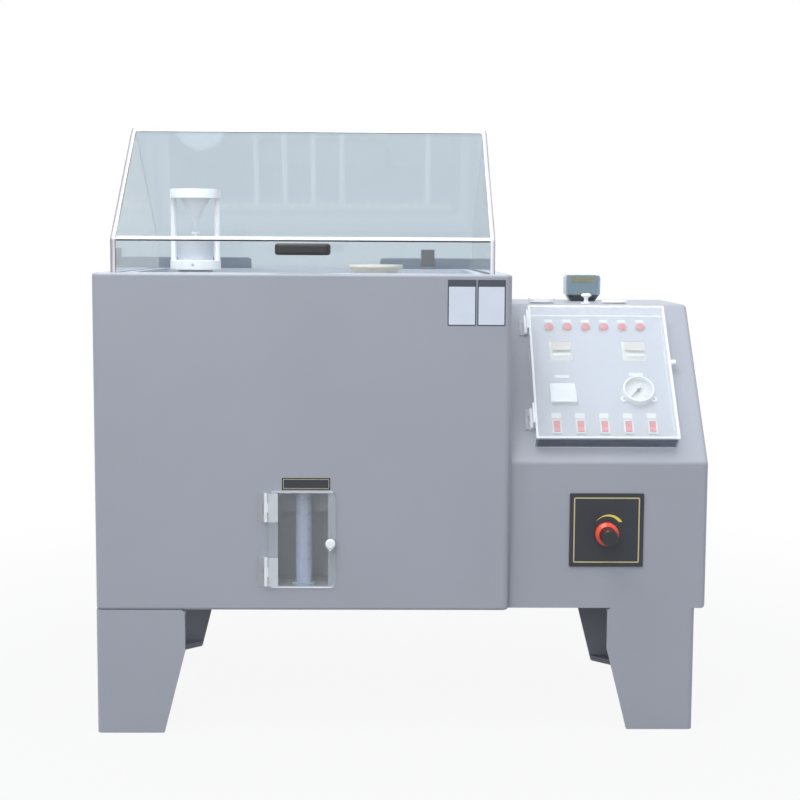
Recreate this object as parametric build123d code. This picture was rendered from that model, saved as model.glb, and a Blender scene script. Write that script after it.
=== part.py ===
from build123d import *
from math import atan2, ceil, cos, floor, radians, sin, sqrt, tan
import os

# Salt spray test chamber: a welded plastic cabinet with a clear gable lid over its tank,
# a lower control cabinet on its right, and four splayed legs.
# Millimetres. X to the right, Y to the back, Z up. The origin is on the floor, midway
# across the machine and midway between the cabinet's front and back.

# Welded cabinet
cabinet_side_room = 60.0
cabinet_end_room = 75.0
cabinet_height = 586.0
leg_height = 220.0
sheet = 8.0
corner_radius = 11.0
edge_radius = 5.0
base_thickness = 10.0

# Tank with its water seal groove
tank_width = 600.0
tank_length = 450.0
tank_depth = 412.0
tank_wall = 6.0
tank_corner = 16.0
flange_thickness = 22.0
groove_depth = 14.0
groove_width = 20.0
rear_groove_width = 23.0

# Clear lid
lid_side_lap = 32.0
lid_front_inset = 33.0
lid_rear_inset = 32.0
lid_wall = 8.0
lid_skirt = 72.0
lid_ridge_rise = 206.0
lid_ridge_back = 252.0
lid_side_play = 4.0
lid_rear_play = 3.0
seat_gap = 0.3
handle_length = 95.0
handle_height = 20.0
handle_reach = 30.0
handle_bar = 13.0
handle_foot = 16.0
handle_drop = 27.0

# Lid hinges
carrier_length = 198.0
carrier_height = 22.0
carrier_depth = 27.0
carrier_corner = 8.0
lid_pin_radius = 4.0
lid_pin_rise = 12.0
lid_pin_inset = 10.0
lid_pin_length = 60.0
lug_width = 28.0
lug_eye_radius = 8.0
lug_plate = 5.0
lug_plate_height = 34.0
running_gap = 0.05
side_gap = 1.0

# Control cabinet
control_width = 350.0
control_recess = 22.0
control_depth = 468.0
control_height = 527.0
slope_foot_height = 259.0
slope_run = 228.0
control_edge_radius = 8.0
bend_radius = 10.0

# Legs
leg_width = 154.0
foot_width = 117.0
knee_height = 145.0
knee_radius = 14.0
leg_plate = 10.0
right_leg_inset = 18.0
foot_strip = 16.0

# Measuring window in the cabinet's front
window_width = 87.0
window_height = 164.0
window_left = 317.4
window_foot = 42.5
window_corner = 3.0
door_width = 117.0
door_height = 169.0
door_thickness = 5.0
door_corner = 9.0
door_lap_left = 16.5
door_lap_bottom = 1.5
window_hinge_length = 50.0
window_hinge_spacing = 113.0
window_knob_radius = 8.5
window_knob_length = 14.0
window_knob_point = 12.5
window_knob_inset = 9.0

# Acrylic hinges
leaf_thickness = 3.0
fixed_leaf_width = 15.0
moving_leaf_width = 21.0
knuckle_radius = 3.5
knuckle_gap = 0.4
hinge_pin_radius = 1.5
hinge_set_back = 4.0

# Niche behind the window, with its measuring cylinder
niche_wall = 4.0
niche_side = 10.0
niche_foot = 4.0
niche_head = 16.0
niche_depth = 105.0
cylinder_radius = 14.5
cylinder_wall = 1.5
cylinder_height = 166.0
cylinder_base_radius = 21.0
cylinder_base = 5.0
cylinder_back = 38.0
spout_radius = 5.5
spout_bore = 3.0
spout_drop = 35.0
spout_bend = 9.0

# Fog collecting funnel and its pipe
funnel_x = 126.0
funnel_radius = 51.0
funnel_wall = 2.0
funnel_rise = 12.0
funnel_cone = 76.0
funnel_stem = 26.0
funnel_stem_radius = 3.4
pipe_radius = 5.5
pipe_bore = 3.45
pipe_run = 105.0
pipe_bend = 30.0

# Spray tower
tower_side_room = 83.5
tower_pipe_radius = 33.0
tower_pipe_wall = 3.0
tower_pipe_rise = 57.0
tower_radius = 47.5
collar_height = 18.0
collar_rise = 1.0
tower_fit = 0.4
tower_cap_height = 17.0
tower_height = 149.0
tower_post_radius = 5.5
cone_radius = 28.0
cone_height = 53.0
nozzle_radius = 7.5
nozzle_height = 4.0
nozzle_stem = 3.0
nozzle_rise = 8.0
set_screw_radius = 3.0

# Specimen rack
rail_height = 30.0
rail_thickness = 12.0
rail_drop = 46.0
rod_radius = 6.0
rod_gap = 0.3
rod_end_gap = 3.0
notch_pitch = 20.0
notches_per_rod = 3
first_rod = 90.0
rail_end = 14.0
funnel_clearance = 4.0

# Tank heater
heater_radius = 5.0
heater_gap = 0.3
heater_rise = 18.0
heater_reach = 62.0
heater_length = 300.0
heater_bend = 26.0
heater_tail = 24.0

# Pipe stubs and service panels at the back
stub_reach = 26.0
stub_wall = 3.0
stub_gap = 0.5
stub_flange = 9.0
stub_flange_thickness = 4.0
exhaust_radius = 25.0
exhaust_drop = 110.0
drain_radius = 16.0
drain_side = 190.0
drain_rise = 22.0
panel_thickness = 3.0
panel_lap = 14.0
service_width = 420.0
service_foot = 16.0
service_drain_gap = 1.0
control_service_side = 40.0
control_service_foot = 40.0
control_service_head = 87.0

# Instruments on the sloping face, set in from the cover's sides. Each share is a height up
# the slope as a part of its length.
lamp_count = 6
lamp_left_inset = 40.0
lamp_right_inset = 42.0
lamp_share = 0.8355
lamp_radius = 10.5
lamp_bezel = 2.5
lamp_lens_radius = 8.0
lamp_lens_height = 4.0
lamp_stem_radius = 7.0
lamp_stem = 30.0
meter_size = 47.0
meter_bezel = 7.0
meter_body = 43.0
meter_length = 60.0
meter_share = 0.685
meter_inset = 59.0
timer_width = 54.0
timer_length = 60.0
timer_body = 46.0
timer_inset = 57.0
timer_share = 0.415
gauge_radius = 28.0
gauge_inset = 60.0
gauge_share = 0.4205
gauge_height = 14.0
gauge_rim = 3.0
gauge_floor = 4.0
gauge_stem_radius = 22.0
gauge_stem = 26.0
gauge_lug_radius = 6.0
gauge_lug_circle = 31.0
glass_thickness = 2.0
glass_seat = 1.5
needle_length = 20.0
needle_tail = 7.0
needle_width = 3.0
needle_thickness = 0.8
needle_rise = 3.0
needle_hub_radius = 3.0
needle_shaft_radius = 1.2
needle_shaft = 8.0
needle_rest_angle = 225.0
switch_count = 5
switch_left_inset = 41.0
switch_right_inset = 40.6
switch_share = 0.2075
switch_width = 17.0
switch_length = 30.0
switch_bezel = 2.5
switch_body_width = 14.0
switch_body_length = 27.0
switch_body_depth = 22.0
rocker_width = 10.6
rocker_radius = 11.6
rocker_gap = 0.4
rocker_depth = 5.0
rocker_rise = 3.6
rocker_end_rise = 1.6
rocker_tilt = 8.0
rocker_pin_radius = 1.4
rocker_pin = 0.8
panel_fit = 0.3

# Clear cover over the instruments
cover_height = 30.0
cover_wall = 4.0
cover_across = 47.0
cover_right_room = 51.0
cover_up = 31.0
cover_head_room = 26.9
cover_hinge_length = 42.0
cover_hinge_low_share = 0.25
cover_hinge_high_share = 0.844
cover_fixed_leaf = 11.0
cover_pin_height = 5.0
cover_leaf_height = 25.0
cover_knob_share = 0.5825
cover_knob_radius = 6.0
cover_knob_length = 12.0

# Air regulator with its plate and knob
plate_size = 130.0
plate_thickness = 2.5
plate_across = 172.2
plate_height = 139.6
knob_height = 133.5
knob_ring_radius = 20.5
knob_ring_length = 15.0
knob_ring_gap = 0.5
knob_cap_radius = 14.5
knob_length = 45.5
knob_shaft_radius = 4.0
knob_shaft_depth = 18.0
knob_shaft_room = 2.0
knob_groove_count = 18
knob_groove_radius = 1.4
neck_radius = 13.0
regulator_size = 56.0
regulator_depth = 62.0
regulator_corner = 6.0
regulator_bowl = 30.0
regulator_port_radius = 10.0
regulator_port_reach = 14.0
neck_hole_gap = 0.5

# Filler hopper, valve plug and port caps on the control cabinet's top
hopper_across = 173.5
hopper_back = 78.0
hopper_width = 68.0
hopper_height = 51.0
hopper_depth = 40.0
hopper_wall = 3.0
hopper_chamfer_width = 11.0
hopper_chamfer_height = 15.0
hopper_corner = 6.0
neck_pipe_radius = 9.0
neck_pipe_bore = 6.0
plug_across = 164.0
plug_set_back = 25.0
plug_radius = 10.0
plug_height = 19.0
plug_cap = 8.0
plug_stem_radius = 5.0
plug_foot_radius = 9.0
plug_depth = 20.0
left_cap_across = 80.7
left_cap_radius = 25.0
left_cap_height = 10.0
right_cap_across = 219.5
right_cap_radius = 24.0
right_cap_height = 5.5
port_set_back = 38.0
port_wall = 3.0
port_tube = 24.0
port_bore_gap = 5.0
cap_lip = 6.0
cap_fit = 0.3

# Saturator barrel inside the control cabinet
barrel_radius = 62.0
barrel_height = 300.0
barrel_dome = 28.0
barrel_foot = 12.0
barrel_wall = 2.0

# Fittings on the control cabinet's back cover
gland_across = 110.0
gland_height = 60.0
gland_radius = 12.0
gland_thread_radius = 8.0
gland_length = 22.0
gland_bore = 5.0
inlet_across = 240.0
inlet_height = 60.0
inlet_radius = 5.0
inlet_bore = 3.0
inlet_length = 30.0
inlet_nut = 9.0
inlet_nut_length = 8.0
inlet_barb = 1.0
fitting_tail = 14.0

# Places that follow from the sizes
cabinet_width = tank_width + 2 * cabinet_side_room
cabinet_depth = tank_length + 2 * cabinet_end_room
lid_width = tank_width + 2 * lid_side_lap
overall_width = cabinet_width + control_width
cabinet_left = -overall_width / 2
cabinet_right = cabinet_left + cabinet_width
cabinet_middle = cabinet_left + cabinet_width / 2
cabinet_front = -cabinet_depth / 2
cabinet_back = cabinet_depth / 2
cabinet_top = leg_height + cabinet_height
control_left = cabinet_right
control_right = control_left + control_width
control_front = cabinet_front + control_recess
control_back = control_front + control_depth
control_top = leg_height + control_height
slope_foot = leg_height + slope_foot_height
slope_head_y = control_front + slope_run
slope_rise = control_top - slope_foot
slope_angle = atan2(slope_rise, slope_run)
slope_length = sqrt(slope_rise ** 2 + slope_run ** 2)
cover_width = control_width - cover_across - cover_right_room
cover_length = slope_length - cover_up - cover_head_room
cover_end = cover_across + cover_width
cover_hinge_low = cover_hinge_low_share * slope_length
cover_hinge_high = cover_hinge_high_share * slope_length
cover_knob_up = cover_knob_share * slope_length
lamp_first = cover_across + lamp_left_inset
lamp_pitch = (cover_end - lamp_right_inset - lamp_first) / (lamp_count - 1)
lamp_up = lamp_share * slope_length
meter_left = cover_across + meter_inset
meter_right = cover_end - meter_inset
meter_up = meter_share * slope_length
timer_across = cover_across + timer_inset
timer_up = timer_share * slope_length
gauge_across = cover_end - gauge_inset
gauge_up = gauge_share * slope_length
switch_first = cover_across + switch_left_inset
switch_pitch = (cover_end - switch_right_inset - switch_first) / (switch_count - 1)
switch_up = switch_share * slope_length
tank_front = -tank_length / 2
tank_back = tank_length / 2
tank_floor = cabinet_top - tank_depth
lid_left = cabinet_middle - lid_width / 2
lid_right = cabinet_middle + lid_width / 2
lid_front = cabinet_front + lid_front_inset
lid_rear = cabinet_back - lid_rear_inset
lid_foot = cabinet_top - groove_depth + seat_gap
lid_bend = lid_foot + lid_skirt
lid_ridge = lid_bend + lid_ridge_rise
lid_ridge_y = lid_front + lid_ridge_back
lid_pin_y = cabinet_back - lid_pin_inset
lid_pin_z = cabinet_top + lid_pin_rise
window_x0 = cabinet_left + window_left
window_x1 = window_x0 + window_width
window_z0 = leg_height + window_foot
window_z1 = window_z0 + window_height
door_x0 = window_x0 - door_lap_left
door_x1 = door_x0 + door_width
door_z0 = window_z0 - door_lap_bottom
door_z1 = door_z0 + door_height
tower_centre = cabinet_middle - tank_width / 2 + tower_side_room
funnel_centre = cabinet_middle + funnel_x
cylinder_x = (window_x0 + window_x1) / 2
cylinder_y = cabinet_front + cylinder_back
niche_floor = window_z0 - niche_foot
niche_top = window_z1 + niche_head
spout_z = niche_top - niche_wall - spout_radius - side_gap
plate_x = control_left + plate_across
plate_z = leg_height + plate_height
knob_z = leg_height + knob_height

# Working planes: x to the right, y up the face, z out of the face
front_face = Plane(origin=(0, cabinet_front, 0), x_dir=(1, 0, 0), z_dir=(0, -1, 0))
control_face = Plane(origin=(0, control_front, 0), x_dir=(1, 0, 0), z_dir=(0, -1, 0))
slope_face = Plane(
    origin=(control_left, control_front, slope_foot),
    x_dir=(1, 0, 0),
    z_dir=(0, -sin(slope_angle), cos(slope_angle)),
)


def block(x0, x1, y0, y1, z0, z1):
    """Box between two corners."""
    return Pos((x0 + x1) / 2, (y0 + y1) / 2, (z0 + z1) / 2) * Box(x1 - x0, y1 - y0, z1 - z0)


def upright(radius, z0, z1):
    """Cylinder on the local z axis between two heights."""
    return Pos(0, 0, (z0 + z1) / 2) * Cylinder(radius, z1 - z0)


def along_y(radius, y0, y1):
    """Cylinder along Y between two places."""
    return Pos(0, (y0 + y1) / 2, 0) * Rot(90, 0, 0) * Cylinder(radius, y1 - y0)


def along_x(radius, x0, x1):
    """Cylinder along X between two places."""
    return Pos((x0 + x1) / 2, 0, 0) * Rot(0, 90, 0) * Cylinder(radius, x1 - x0)


def turned(points):
    """Solid of revolution from a closed outline of (radius, height) points."""
    outline = Polyline(*[(r, 0, z) for r, z in points], close=True)
    return revolve(make_face(outline), Axis.Z)


def extruded(points, axis, length):
    """Prism of a closed outline, drawn in the plane across the axis."""
    outline = Polyline(*points, close=True)
    return extrude(make_face(outline), amount=length, dir=axis)


def piped(points, radii, radius):
    """Round bar along straight runs joined by arcs."""
    path = FilletPolyline(*points, radius=radii)
    start = Plane(origin=path @ 0, z_dir=path % 0)
    return sweep(start * Circle(radius), path=path)


# Cabinet

def cabinet_shell():
    outer = block(cabinet_left, cabinet_right, cabinet_front, cabinet_back, leg_height, cabinet_top)
    outer = fillet(outer.edges().filter_by(Axis.Z), corner_radius)
    rims = outer.faces().filter_by(Axis.Z).edges()
    outer = fillet(rims, edge_radius)
    inner = block(
        cabinet_left + sheet, cabinet_right - sheet,
        cabinet_front + sheet, cabinet_back - sheet,
        leg_height - sheet, cabinet_top + sheet,
    )
    shell = outer - inner
    window = block(
        window_x0, window_x1, cabinet_front - sheet, cabinet_front + 2 * sheet, window_z0, window_z1
    )
    shell -= fillet(window.edges().filter_by(Axis.Y), window_corner)
    shell -= block(*service_opening(), cabinet_back - 2 * sheet, cabinet_back + sheet,
                   *service_heights())
    for x, z, radius in stub_places():
        shell -= Pos(x, 0, z) * along_y(radius + stub_gap, cabinet_back - 2 * sheet, cabinet_back + sheet)
    return shell


def service_opening():
    """Left and right of the service opening in the cabinet's back."""
    return cabinet_middle - service_width / 2, cabinet_middle + service_width / 2


def service_heights():
    """Foot and head of the service opening in the cabinet's back, under the drain stub."""
    foot = leg_height + base_thickness + service_foot
    drain_foot = tank_floor + drain_rise - drain_radius - stub_flange
    return foot, drain_foot - service_drain_gap - panel_lap


def rear_service_panel():
    x0, x1 = service_opening()
    z0, z1 = service_heights()
    panel = block(
        x0 - panel_lap, x1 + panel_lap, cabinet_back, cabinet_back + panel_thickness,
        z0 - panel_lap, z1 + panel_lap,
    )
    return fillet(panel.edges().filter_by(Axis.Y), window_corner)


def cabinet_base():
    return block(
        cabinet_left + sheet, cabinet_right - sheet,
        cabinet_front + sheet, cabinet_back - sheet,
        leg_height, leg_height + base_thickness,
    )


def leg_outline(x, height):
    """Closed outline of a leg plate, straight at the top and tapering to the foot."""
    return [
        (0, 0), (foot_width, 0), (x, knee_height), (x, height), (0, height),
    ]


def leg():
    """One leg with its outer corner on the local z axis, reaching along +x and +y."""
    knee = [(x, 0, z) for x, z in leg_outline(leg_width, leg_height)]
    front = extruded(knee, (0, 1, 0), leg_plate)
    front = fillet(front.edges().filter_by(Axis.Y).sort_by(Axis.X)[-2:], knee_radius / 2)
    side = mirror(front.rotate(Axis.Z, 90), about=Plane.YZ)
    corner = front + side
    outer = corner.edges().filter_by(Axis.Z).sort_by_distance((0, 0, leg_height / 2))[0]
    corner = fillet(outer, leg_plate * 0.9)
    foot = leg_tie(foot_width, 0, leg_plate)
    head = leg_tie(leg_width, leg_height - leg_plate, leg_height)
    return corner + foot + head


def leg_tie(width, z0, z1):
    """Flat plate with a diagonal inner edge that ties the two leg plates."""
    inset = leg_plate
    points = [
        (inset, inset, z0), (width, inset, z0), (width, foot_strip, z0),
        (foot_strip, width, z0), (inset, width, z0),
    ]
    return extruded(points, (0, 0, 1), z1 - z0)


def placed_leg(x, y, to_right, to_back):
    """Leg with its outer corner at x, y, turned to face the machine's middle."""
    shape = leg()
    if not to_right:
        shape = mirror(shape, about=Plane.YZ)
    if not to_back:
        shape = mirror(shape, about=Plane.XZ)
    return Pos(x, y, 0) * shape


# Tank

def rounded_block(x0, x1, y0, y1, z0, z1, radius):
    shape = block(x0, x1, y0, y1, z0, z1)
    return fillet(shape.edges().filter_by(Axis.Z), radius)


def groove_span():
    """Outer edges of the water seal groove: left, right, front, back."""
    left = lid_left - lid_side_play
    right = lid_right + lid_side_play
    return left, right, lid_front - lid_side_play, lid_rear + lid_rear_play


def inner_tank():
    x0 = cabinet_middle - tank_width / 2
    x1 = cabinet_middle + tank_width / 2
    flange = block(
        cabinet_left + sheet, cabinet_right - sheet,
        cabinet_front + sheet, cabinet_back - sheet,
        cabinet_top - flange_thickness, cabinet_top,
    )
    tub = rounded_block(
        x0 - tank_wall, x1 + tank_wall, tank_front - tank_wall, tank_back + tank_wall,
        tank_floor - tank_wall, cabinet_top - flange_thickness, tank_corner + tank_wall,
    )
    tub = fillet(tub.faces().sort_by(Axis.Z)[0].edges(), tank_wall)
    tank = flange + tub
    tank -= rounded_block(x0, x1, tank_front, tank_back, tank_floor, cabinet_top + sheet, tank_corner)
    left, right, front, back = groove_span()
    groove = block(left, right, front, back, cabinet_top - groove_depth, cabinet_top + sheet)
    groove -= block(
        left + groove_width, right - groove_width, front + groove_width, back - rear_groove_width,
        cabinet_top - 2 * groove_depth, cabinet_top + 2 * sheet,
    )
    tank -= groove
    for x, z, radius in stub_places():
        tank -= Pos(x, 0, z) * along_y(radius - stub_wall, tank_back - tank_wall, tank_back + 2 * tank_wall)
    for x in heater_ends():
        tank -= Pos(x, 0, heater_z()) * along_y(
            heater_radius + heater_gap, tank_back - tank_wall, tank_back + 2 * tank_wall
        )
    tank -= Pos(cylinder_x, 0, spout_z) * along_y(
        spout_bore, tank_front - 2 * tank_wall, tank_front + tank_wall
    )
    return tank


def stub_places():
    """Exhaust and drain stubs in the back: x, z, outer radius."""
    exhaust = (cabinet_middle, cabinet_top - exhaust_drop, exhaust_radius)
    drain = (cabinet_middle - drain_side, tank_floor + drain_rise, drain_radius)
    return [exhaust, drain]


def rear_pipe_stubs():
    stubs = []
    for x, z, radius in stub_places():
        pipe = along_y(radius, tank_back + tank_wall, cabinet_back + stub_reach)
        pipe += along_y(radius + stub_flange, cabinet_back, cabinet_back + stub_flange_thickness)
        pipe -= along_y(radius - stub_wall, tank_back, cabinet_back + 2 * stub_reach)
        stubs.append(Pos(x, 0, z) * pipe)
    return stubs


def heater_z():
    return tank_floor + heater_rise


def heater_ends():
    """The two places across the tank where the heater passes its back wall."""
    return cabinet_middle - heater_length / 2, cabinet_middle + heater_length / 2


def tank_heater():
    x0, x1 = heater_ends()
    near = tank_back - heater_reach
    far = tank_back + tank_wall + heater_tail
    z = heater_z()
    return piped([(x0, far, z), (x0, near, z), (x1, near, z), (x1, far, z)], heater_bend, heater_radius)


# Specimen rack

def rod_places():
    """Rods at a steady pitch, with the places under the funnel left free."""
    start = tower_centre + first_rod
    rod_pitch = notches_per_rod * notch_pitch
    count = int((cabinet_middle + tank_width / 2 - start - rod_pitch / 2) / rod_pitch) + 1
    places = [start + i * rod_pitch for i in range(count)]
    room = funnel_radius + rod_radius + funnel_clearance
    return [x for x in places if abs(x - funnel_centre) > room]


def rail_top():
    return cabinet_top - rail_drop


def notch_places(x0, x1):
    """Notches at a steady pitch along a rail, in step with the rods."""
    start = tower_centre + first_rod
    low = ceil((x0 + rail_end - start) / notch_pitch)
    high = floor((x1 - rail_end - start) / notch_pitch)
    return [start + i * notch_pitch for i in range(low, high + 1)]


def rack_rails():
    rails = []
    x0 = cabinet_middle - tank_width / 2 + tank_corner
    x1 = cabinet_middle + tank_width / 2 - tank_corner
    for y0, y1 in [(tank_front, tank_front + rail_thickness), (tank_back - rail_thickness, tank_back)]:
        rail = block(x0, x1, y0, y1, rail_top() - rail_height, rail_top())
        for x in notch_places(x0, x1):
            rail -= Pos(x, 0, rail_top()) * along_y(rod_radius + rod_gap, y0 - 1, y1 + 1)
        rails.append(rail)
    return rails


def specimen_rods():
    rod = along_y(rod_radius, tank_front + rod_end_gap, tank_back - rod_end_gap)
    rod = chamfer(rod.edges(), 1)
    return [Pos(x, 0, rail_top()) * rod for x in rod_places()]


# Fog collection

def funnel_stem_foot():
    return cabinet_top + funnel_rise - funnel_cone - funnel_stem


def collecting_funnel():
    rim = cabinet_top + funnel_rise
    throat = rim - funnel_cone
    shape = turned([
        (0, funnel_stem_foot()), (funnel_stem_radius, funnel_stem_foot()),
        (funnel_stem_radius, throat - 4), (funnel_stem_radius + 2, throat),
        (funnel_radius, rim - 4), (funnel_radius, rim), (0, rim),
    ])
    bore = turned([
        (0, rim + 1), (funnel_radius - funnel_wall, rim + 1), (funnel_radius - funnel_wall, rim - 4),
        (funnel_stem_radius - 1, throat), (funnel_stem_radius - 1, funnel_stem_foot() - 1),
        (0, funnel_stem_foot() - 1),
    ])
    return Pos(funnel_centre, 0, 0) * (shape - bore)


def collector_pipe():
    top = cabinet_top + funnel_rise - funnel_cone - 6
    points = [
        (cylinder_x, tank_front, spout_z), (cylinder_x, tank_front + pipe_run, spout_z),
        (funnel_centre, 0, spout_z), (funnel_centre, 0, top),
    ]
    pipe = piped(points, pipe_bend, pipe_radius)
    return pipe - piped(points, pipe_bend, pipe_bore)


def drip_spout():
    """Elbow that brings the collected fog from the tank's front wall into the cylinder."""
    y0 = tank_front - tank_wall
    points = [(cylinder_x, y0, spout_z), (cylinder_x, cylinder_y, spout_z),
              (cylinder_x, cylinder_y, spout_z - spout_drop)]
    return piped(points, spout_bend, spout_radius) - piped(points, spout_bend, spout_bore)


def measuring_cylinder():
    foot = niche_floor
    head = foot + cylinder_height
    tube = upright(cylinder_radius, foot, head)
    tube += upright(cylinder_base_radius, foot, foot + cylinder_base)
    tube -= upright(cylinder_radius - cylinder_wall, foot + cylinder_base, head + 1)
    return Pos(cylinder_x, cylinder_y, 0) * tube


def niche_outline(gap):
    """Side outline of the niche, deep below the tank's floor and shallow in front of the tank."""
    front = cabinet_front + sheet
    step = tank_floor - tank_wall - gap
    return [
        (front, niche_floor - niche_wall + gap), (front + niche_depth - gap, niche_floor - niche_wall + gap),
        (front + niche_depth - gap, step), (tank_front - tank_wall - gap, step),
        (tank_front - tank_wall - gap, niche_top - gap), (front, niche_top - gap),
    ]


def measuring_niche():
    x0 = window_x0 - niche_side
    x1 = window_x1 + niche_side
    outer = extruded([(x0, y, z) for y, z in niche_outline(0)], (1, 0, 0), x1 - x0)
    front = cabinet_front + sheet
    inner_points = [(x0 + niche_wall, y - (1 if y == front else 0), z) for y, z in niche_outline(niche_wall)]
    inner = extruded(inner_points, (1, 0, 0), x1 - x0 - 2 * niche_wall)
    niche = outer - inner
    return niche - Pos(cylinder_x, 0, spout_z) * along_y(
        spout_radius + stub_gap, tank_front - 2 * tank_wall - niche_wall, tank_front
    )


# Spray tower

def spray_pipe():
    top = cabinet_top + tower_pipe_rise
    pipe = upright(tower_pipe_radius, tank_floor, top)
    pipe -= upright(tower_pipe_radius - tower_pipe_wall, tank_floor + tank_wall, top - tower_pipe_wall)
    pipe -= upright(nozzle_stem, top - 2 * tower_pipe_wall, top + 1)
    return Pos(tower_centre, 0, 0) * pipe


def spray_nozzle():
    top = cabinet_top + tower_pipe_rise
    stem = upright(nozzle_stem, top - 2 * tower_pipe_wall, top + nozzle_rise)
    head = upright(nozzle_radius, top + nozzle_rise, top + nozzle_rise + nozzle_height)
    head = fillet(head.edges(), 1)
    return Pos(tower_centre, 0, 0) * (stem + head)


def tower_collar():
    foot = cabinet_top + collar_rise
    ring = upright(tower_radius, foot, foot + collar_height)
    ring = fillet(ring.edges(), 1)
    ring -= upright(tower_pipe_radius + tower_fit, foot - 1, foot + collar_height + 1)
    ring -= Pos(0, 0, foot + collar_height / 2) * along_y(
        set_screw_radius + running_gap, -tower_radius - 1, -tower_pipe_radius
    )
    return Pos(tower_centre, 0, 0) * ring


def tower_set_screw():
    z = cabinet_top + collar_rise + collar_height / 2
    screw = along_y(set_screw_radius, -tower_radius + 1, -tower_pipe_radius - tower_fit)
    return Pos(tower_centre, 0, z) * screw


def tower_posts():
    z0 = cabinet_top + collar_rise + collar_height
    z1 = cabinet_top + tower_height - tower_cap_height
    reach = tower_radius - tower_post_radius - 1
    post = upright(tower_post_radius, z0, z1)
    return [Pos(tower_centre - reach, 0, 0) * post, Pos(tower_centre + reach, 0, 0) * post]


def tower_cap():
    """Cap with the cone that spreads the spray, point down."""
    top = cabinet_top + tower_height
    under = top - tower_cap_height
    cap = turned([
        (0, top), (tower_radius, top), (tower_radius, under),
        (cone_radius, under), (0, under - cone_height),
    ])
    return Pos(tower_centre, 0, 0) * cap


# Lid

def lid_outline(gap):
    """Side outline of the lid, moved inwards by the sheet's thickness for the inside."""
    front_angle = atan2(lid_ridge_rise, lid_ridge_back)
    rear_run = lid_rear - lid_ridge_y
    rear_angle = atan2(lid_ridge_rise, rear_run)
    front_bend = lid_bend - gap * (1 - sin(front_angle)) / cos(front_angle)
    rear_bend = lid_bend - gap * (1 - sin(rear_angle)) / cos(rear_angle)
    # The two inner slopes meet below the ridge
    drop_front = gap / cos(front_angle)
    drop_rear = gap / cos(rear_angle)
    rise_front = tan(front_angle)
    rise_rear = tan(rear_angle)
    shift = (drop_front - drop_rear) / (rise_front + rise_rear)
    ridge_z = lid_ridge - drop_front + rise_front * shift
    return [
        (lid_front + gap, lid_foot), (lid_front + gap, front_bend),
        (lid_ridge_y + shift, ridge_z),
        (lid_rear - gap, rear_bend), (lid_rear - gap, lid_foot),
    ]


def lid_shell():
    outer = extruded([(lid_left, y, z) for y, z in lid_outline(0)], (1, 0, 0), lid_width)
    points = lid_outline(lid_wall)
    points[0] = (points[0][0], lid_foot - 1)
    points[-1] = (points[-1][0], lid_foot - 1)
    inner = extruded(
        [(lid_left + lid_wall, y, z) for y, z in points], (1, 0, 0), lid_width - 2 * lid_wall
    )
    return outer - inner


def lid_handle():
    top = lid_bend - handle_drop + handle_height
    half = handle_length / 2
    face = lid_front
    grip = block(-half, half, face - handle_reach, face, top - handle_height, top)
    grip = fillet(grip.edges().filter_by(Axis.Z).sort_by(Axis.Y)[:2], handle_bar * 0.6)
    front_edges = grip.edges().filter_by(Axis.X).sort_by(Axis.Y)[:2]
    grip = fillet(front_edges, handle_bar * 0.4)
    grip -= block(
        -half + handle_foot, half - handle_foot, face - handle_reach + handle_bar, face + 1,
        top - handle_height - 1, top + 1,
    )
    return Pos(cabinet_middle, 0, 0) * grip


def carrier_centres():
    """The carriers end flush with the lid's sides."""
    return lid_left + carrier_length / 2, lid_right - carrier_length / 2


def lid_hinge_carriers():
    carriers = []
    for x in carrier_centres():
        bar = block(
            -carrier_length / 2, carrier_length / 2, cabinet_back - carrier_depth, cabinet_back - 2,
            cabinet_top, cabinet_top + carrier_height,
        )
        bar = fillet(bar.edges().filter_by(Axis.Y).group_by(Axis.Z)[-1], carrier_corner)
        half_slot = lug_width / 2 + side_gap
        bar -= block(
            -half_slot, half_slot, cabinet_back - carrier_depth - 1, cabinet_back + 1,
            lid_pin_z - lug_eye_radius - side_gap, cabinet_top + carrier_height + 1,
        )
        bore = Pos(0, lid_pin_y, lid_pin_z) * along_x(
            lid_pin_radius + running_gap, -lid_pin_length / 2, lid_pin_length / 2
        )
        carriers.append(Pos(x, 0, 0) * (bar - bore))
    return carriers


def lid_hinge_pins():
    pin = Pos(0, lid_pin_y, lid_pin_z) * along_x(
        lid_pin_radius, -lid_pin_length / 2 + side_gap, lid_pin_length / 2 - side_gap
    )
    return [Pos(x, 0, 0) * pin for x in carrier_centres()]


def lid_hinge_lugs():
    """Lug bonded on the lid's back skirt, with an eye round the hinge pin."""
    foot = lid_pin_z - lug_eye_radius + 2
    plate = block(
        -lug_width / 2, lug_width / 2, lid_rear, lid_rear + lug_plate, foot, foot + lug_plate_height
    )
    eye = Pos(0, lid_pin_y, lid_pin_z) * along_x(lug_eye_radius, -lug_width / 2, lug_width / 2)
    web = block(
        -lug_width / 2, lug_width / 2, lid_rear + lug_plate, lid_pin_y,
        lid_pin_z - lug_eye_radius + 2, lid_pin_z + lug_eye_radius - 2,
    )
    bore = Pos(0, lid_pin_y, lid_pin_z) * along_x(lid_pin_radius + running_gap, -lug_width, lug_width)
    lug = plate + eye + web - bore
    return [Pos(x, 0, 0) * lug for x in carrier_centres()]


# Acrylic hinges, drawn with the pin along the local y axis

def hinge_segment(length):
    """Half length of the middle knuckle."""
    return length / 6


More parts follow.
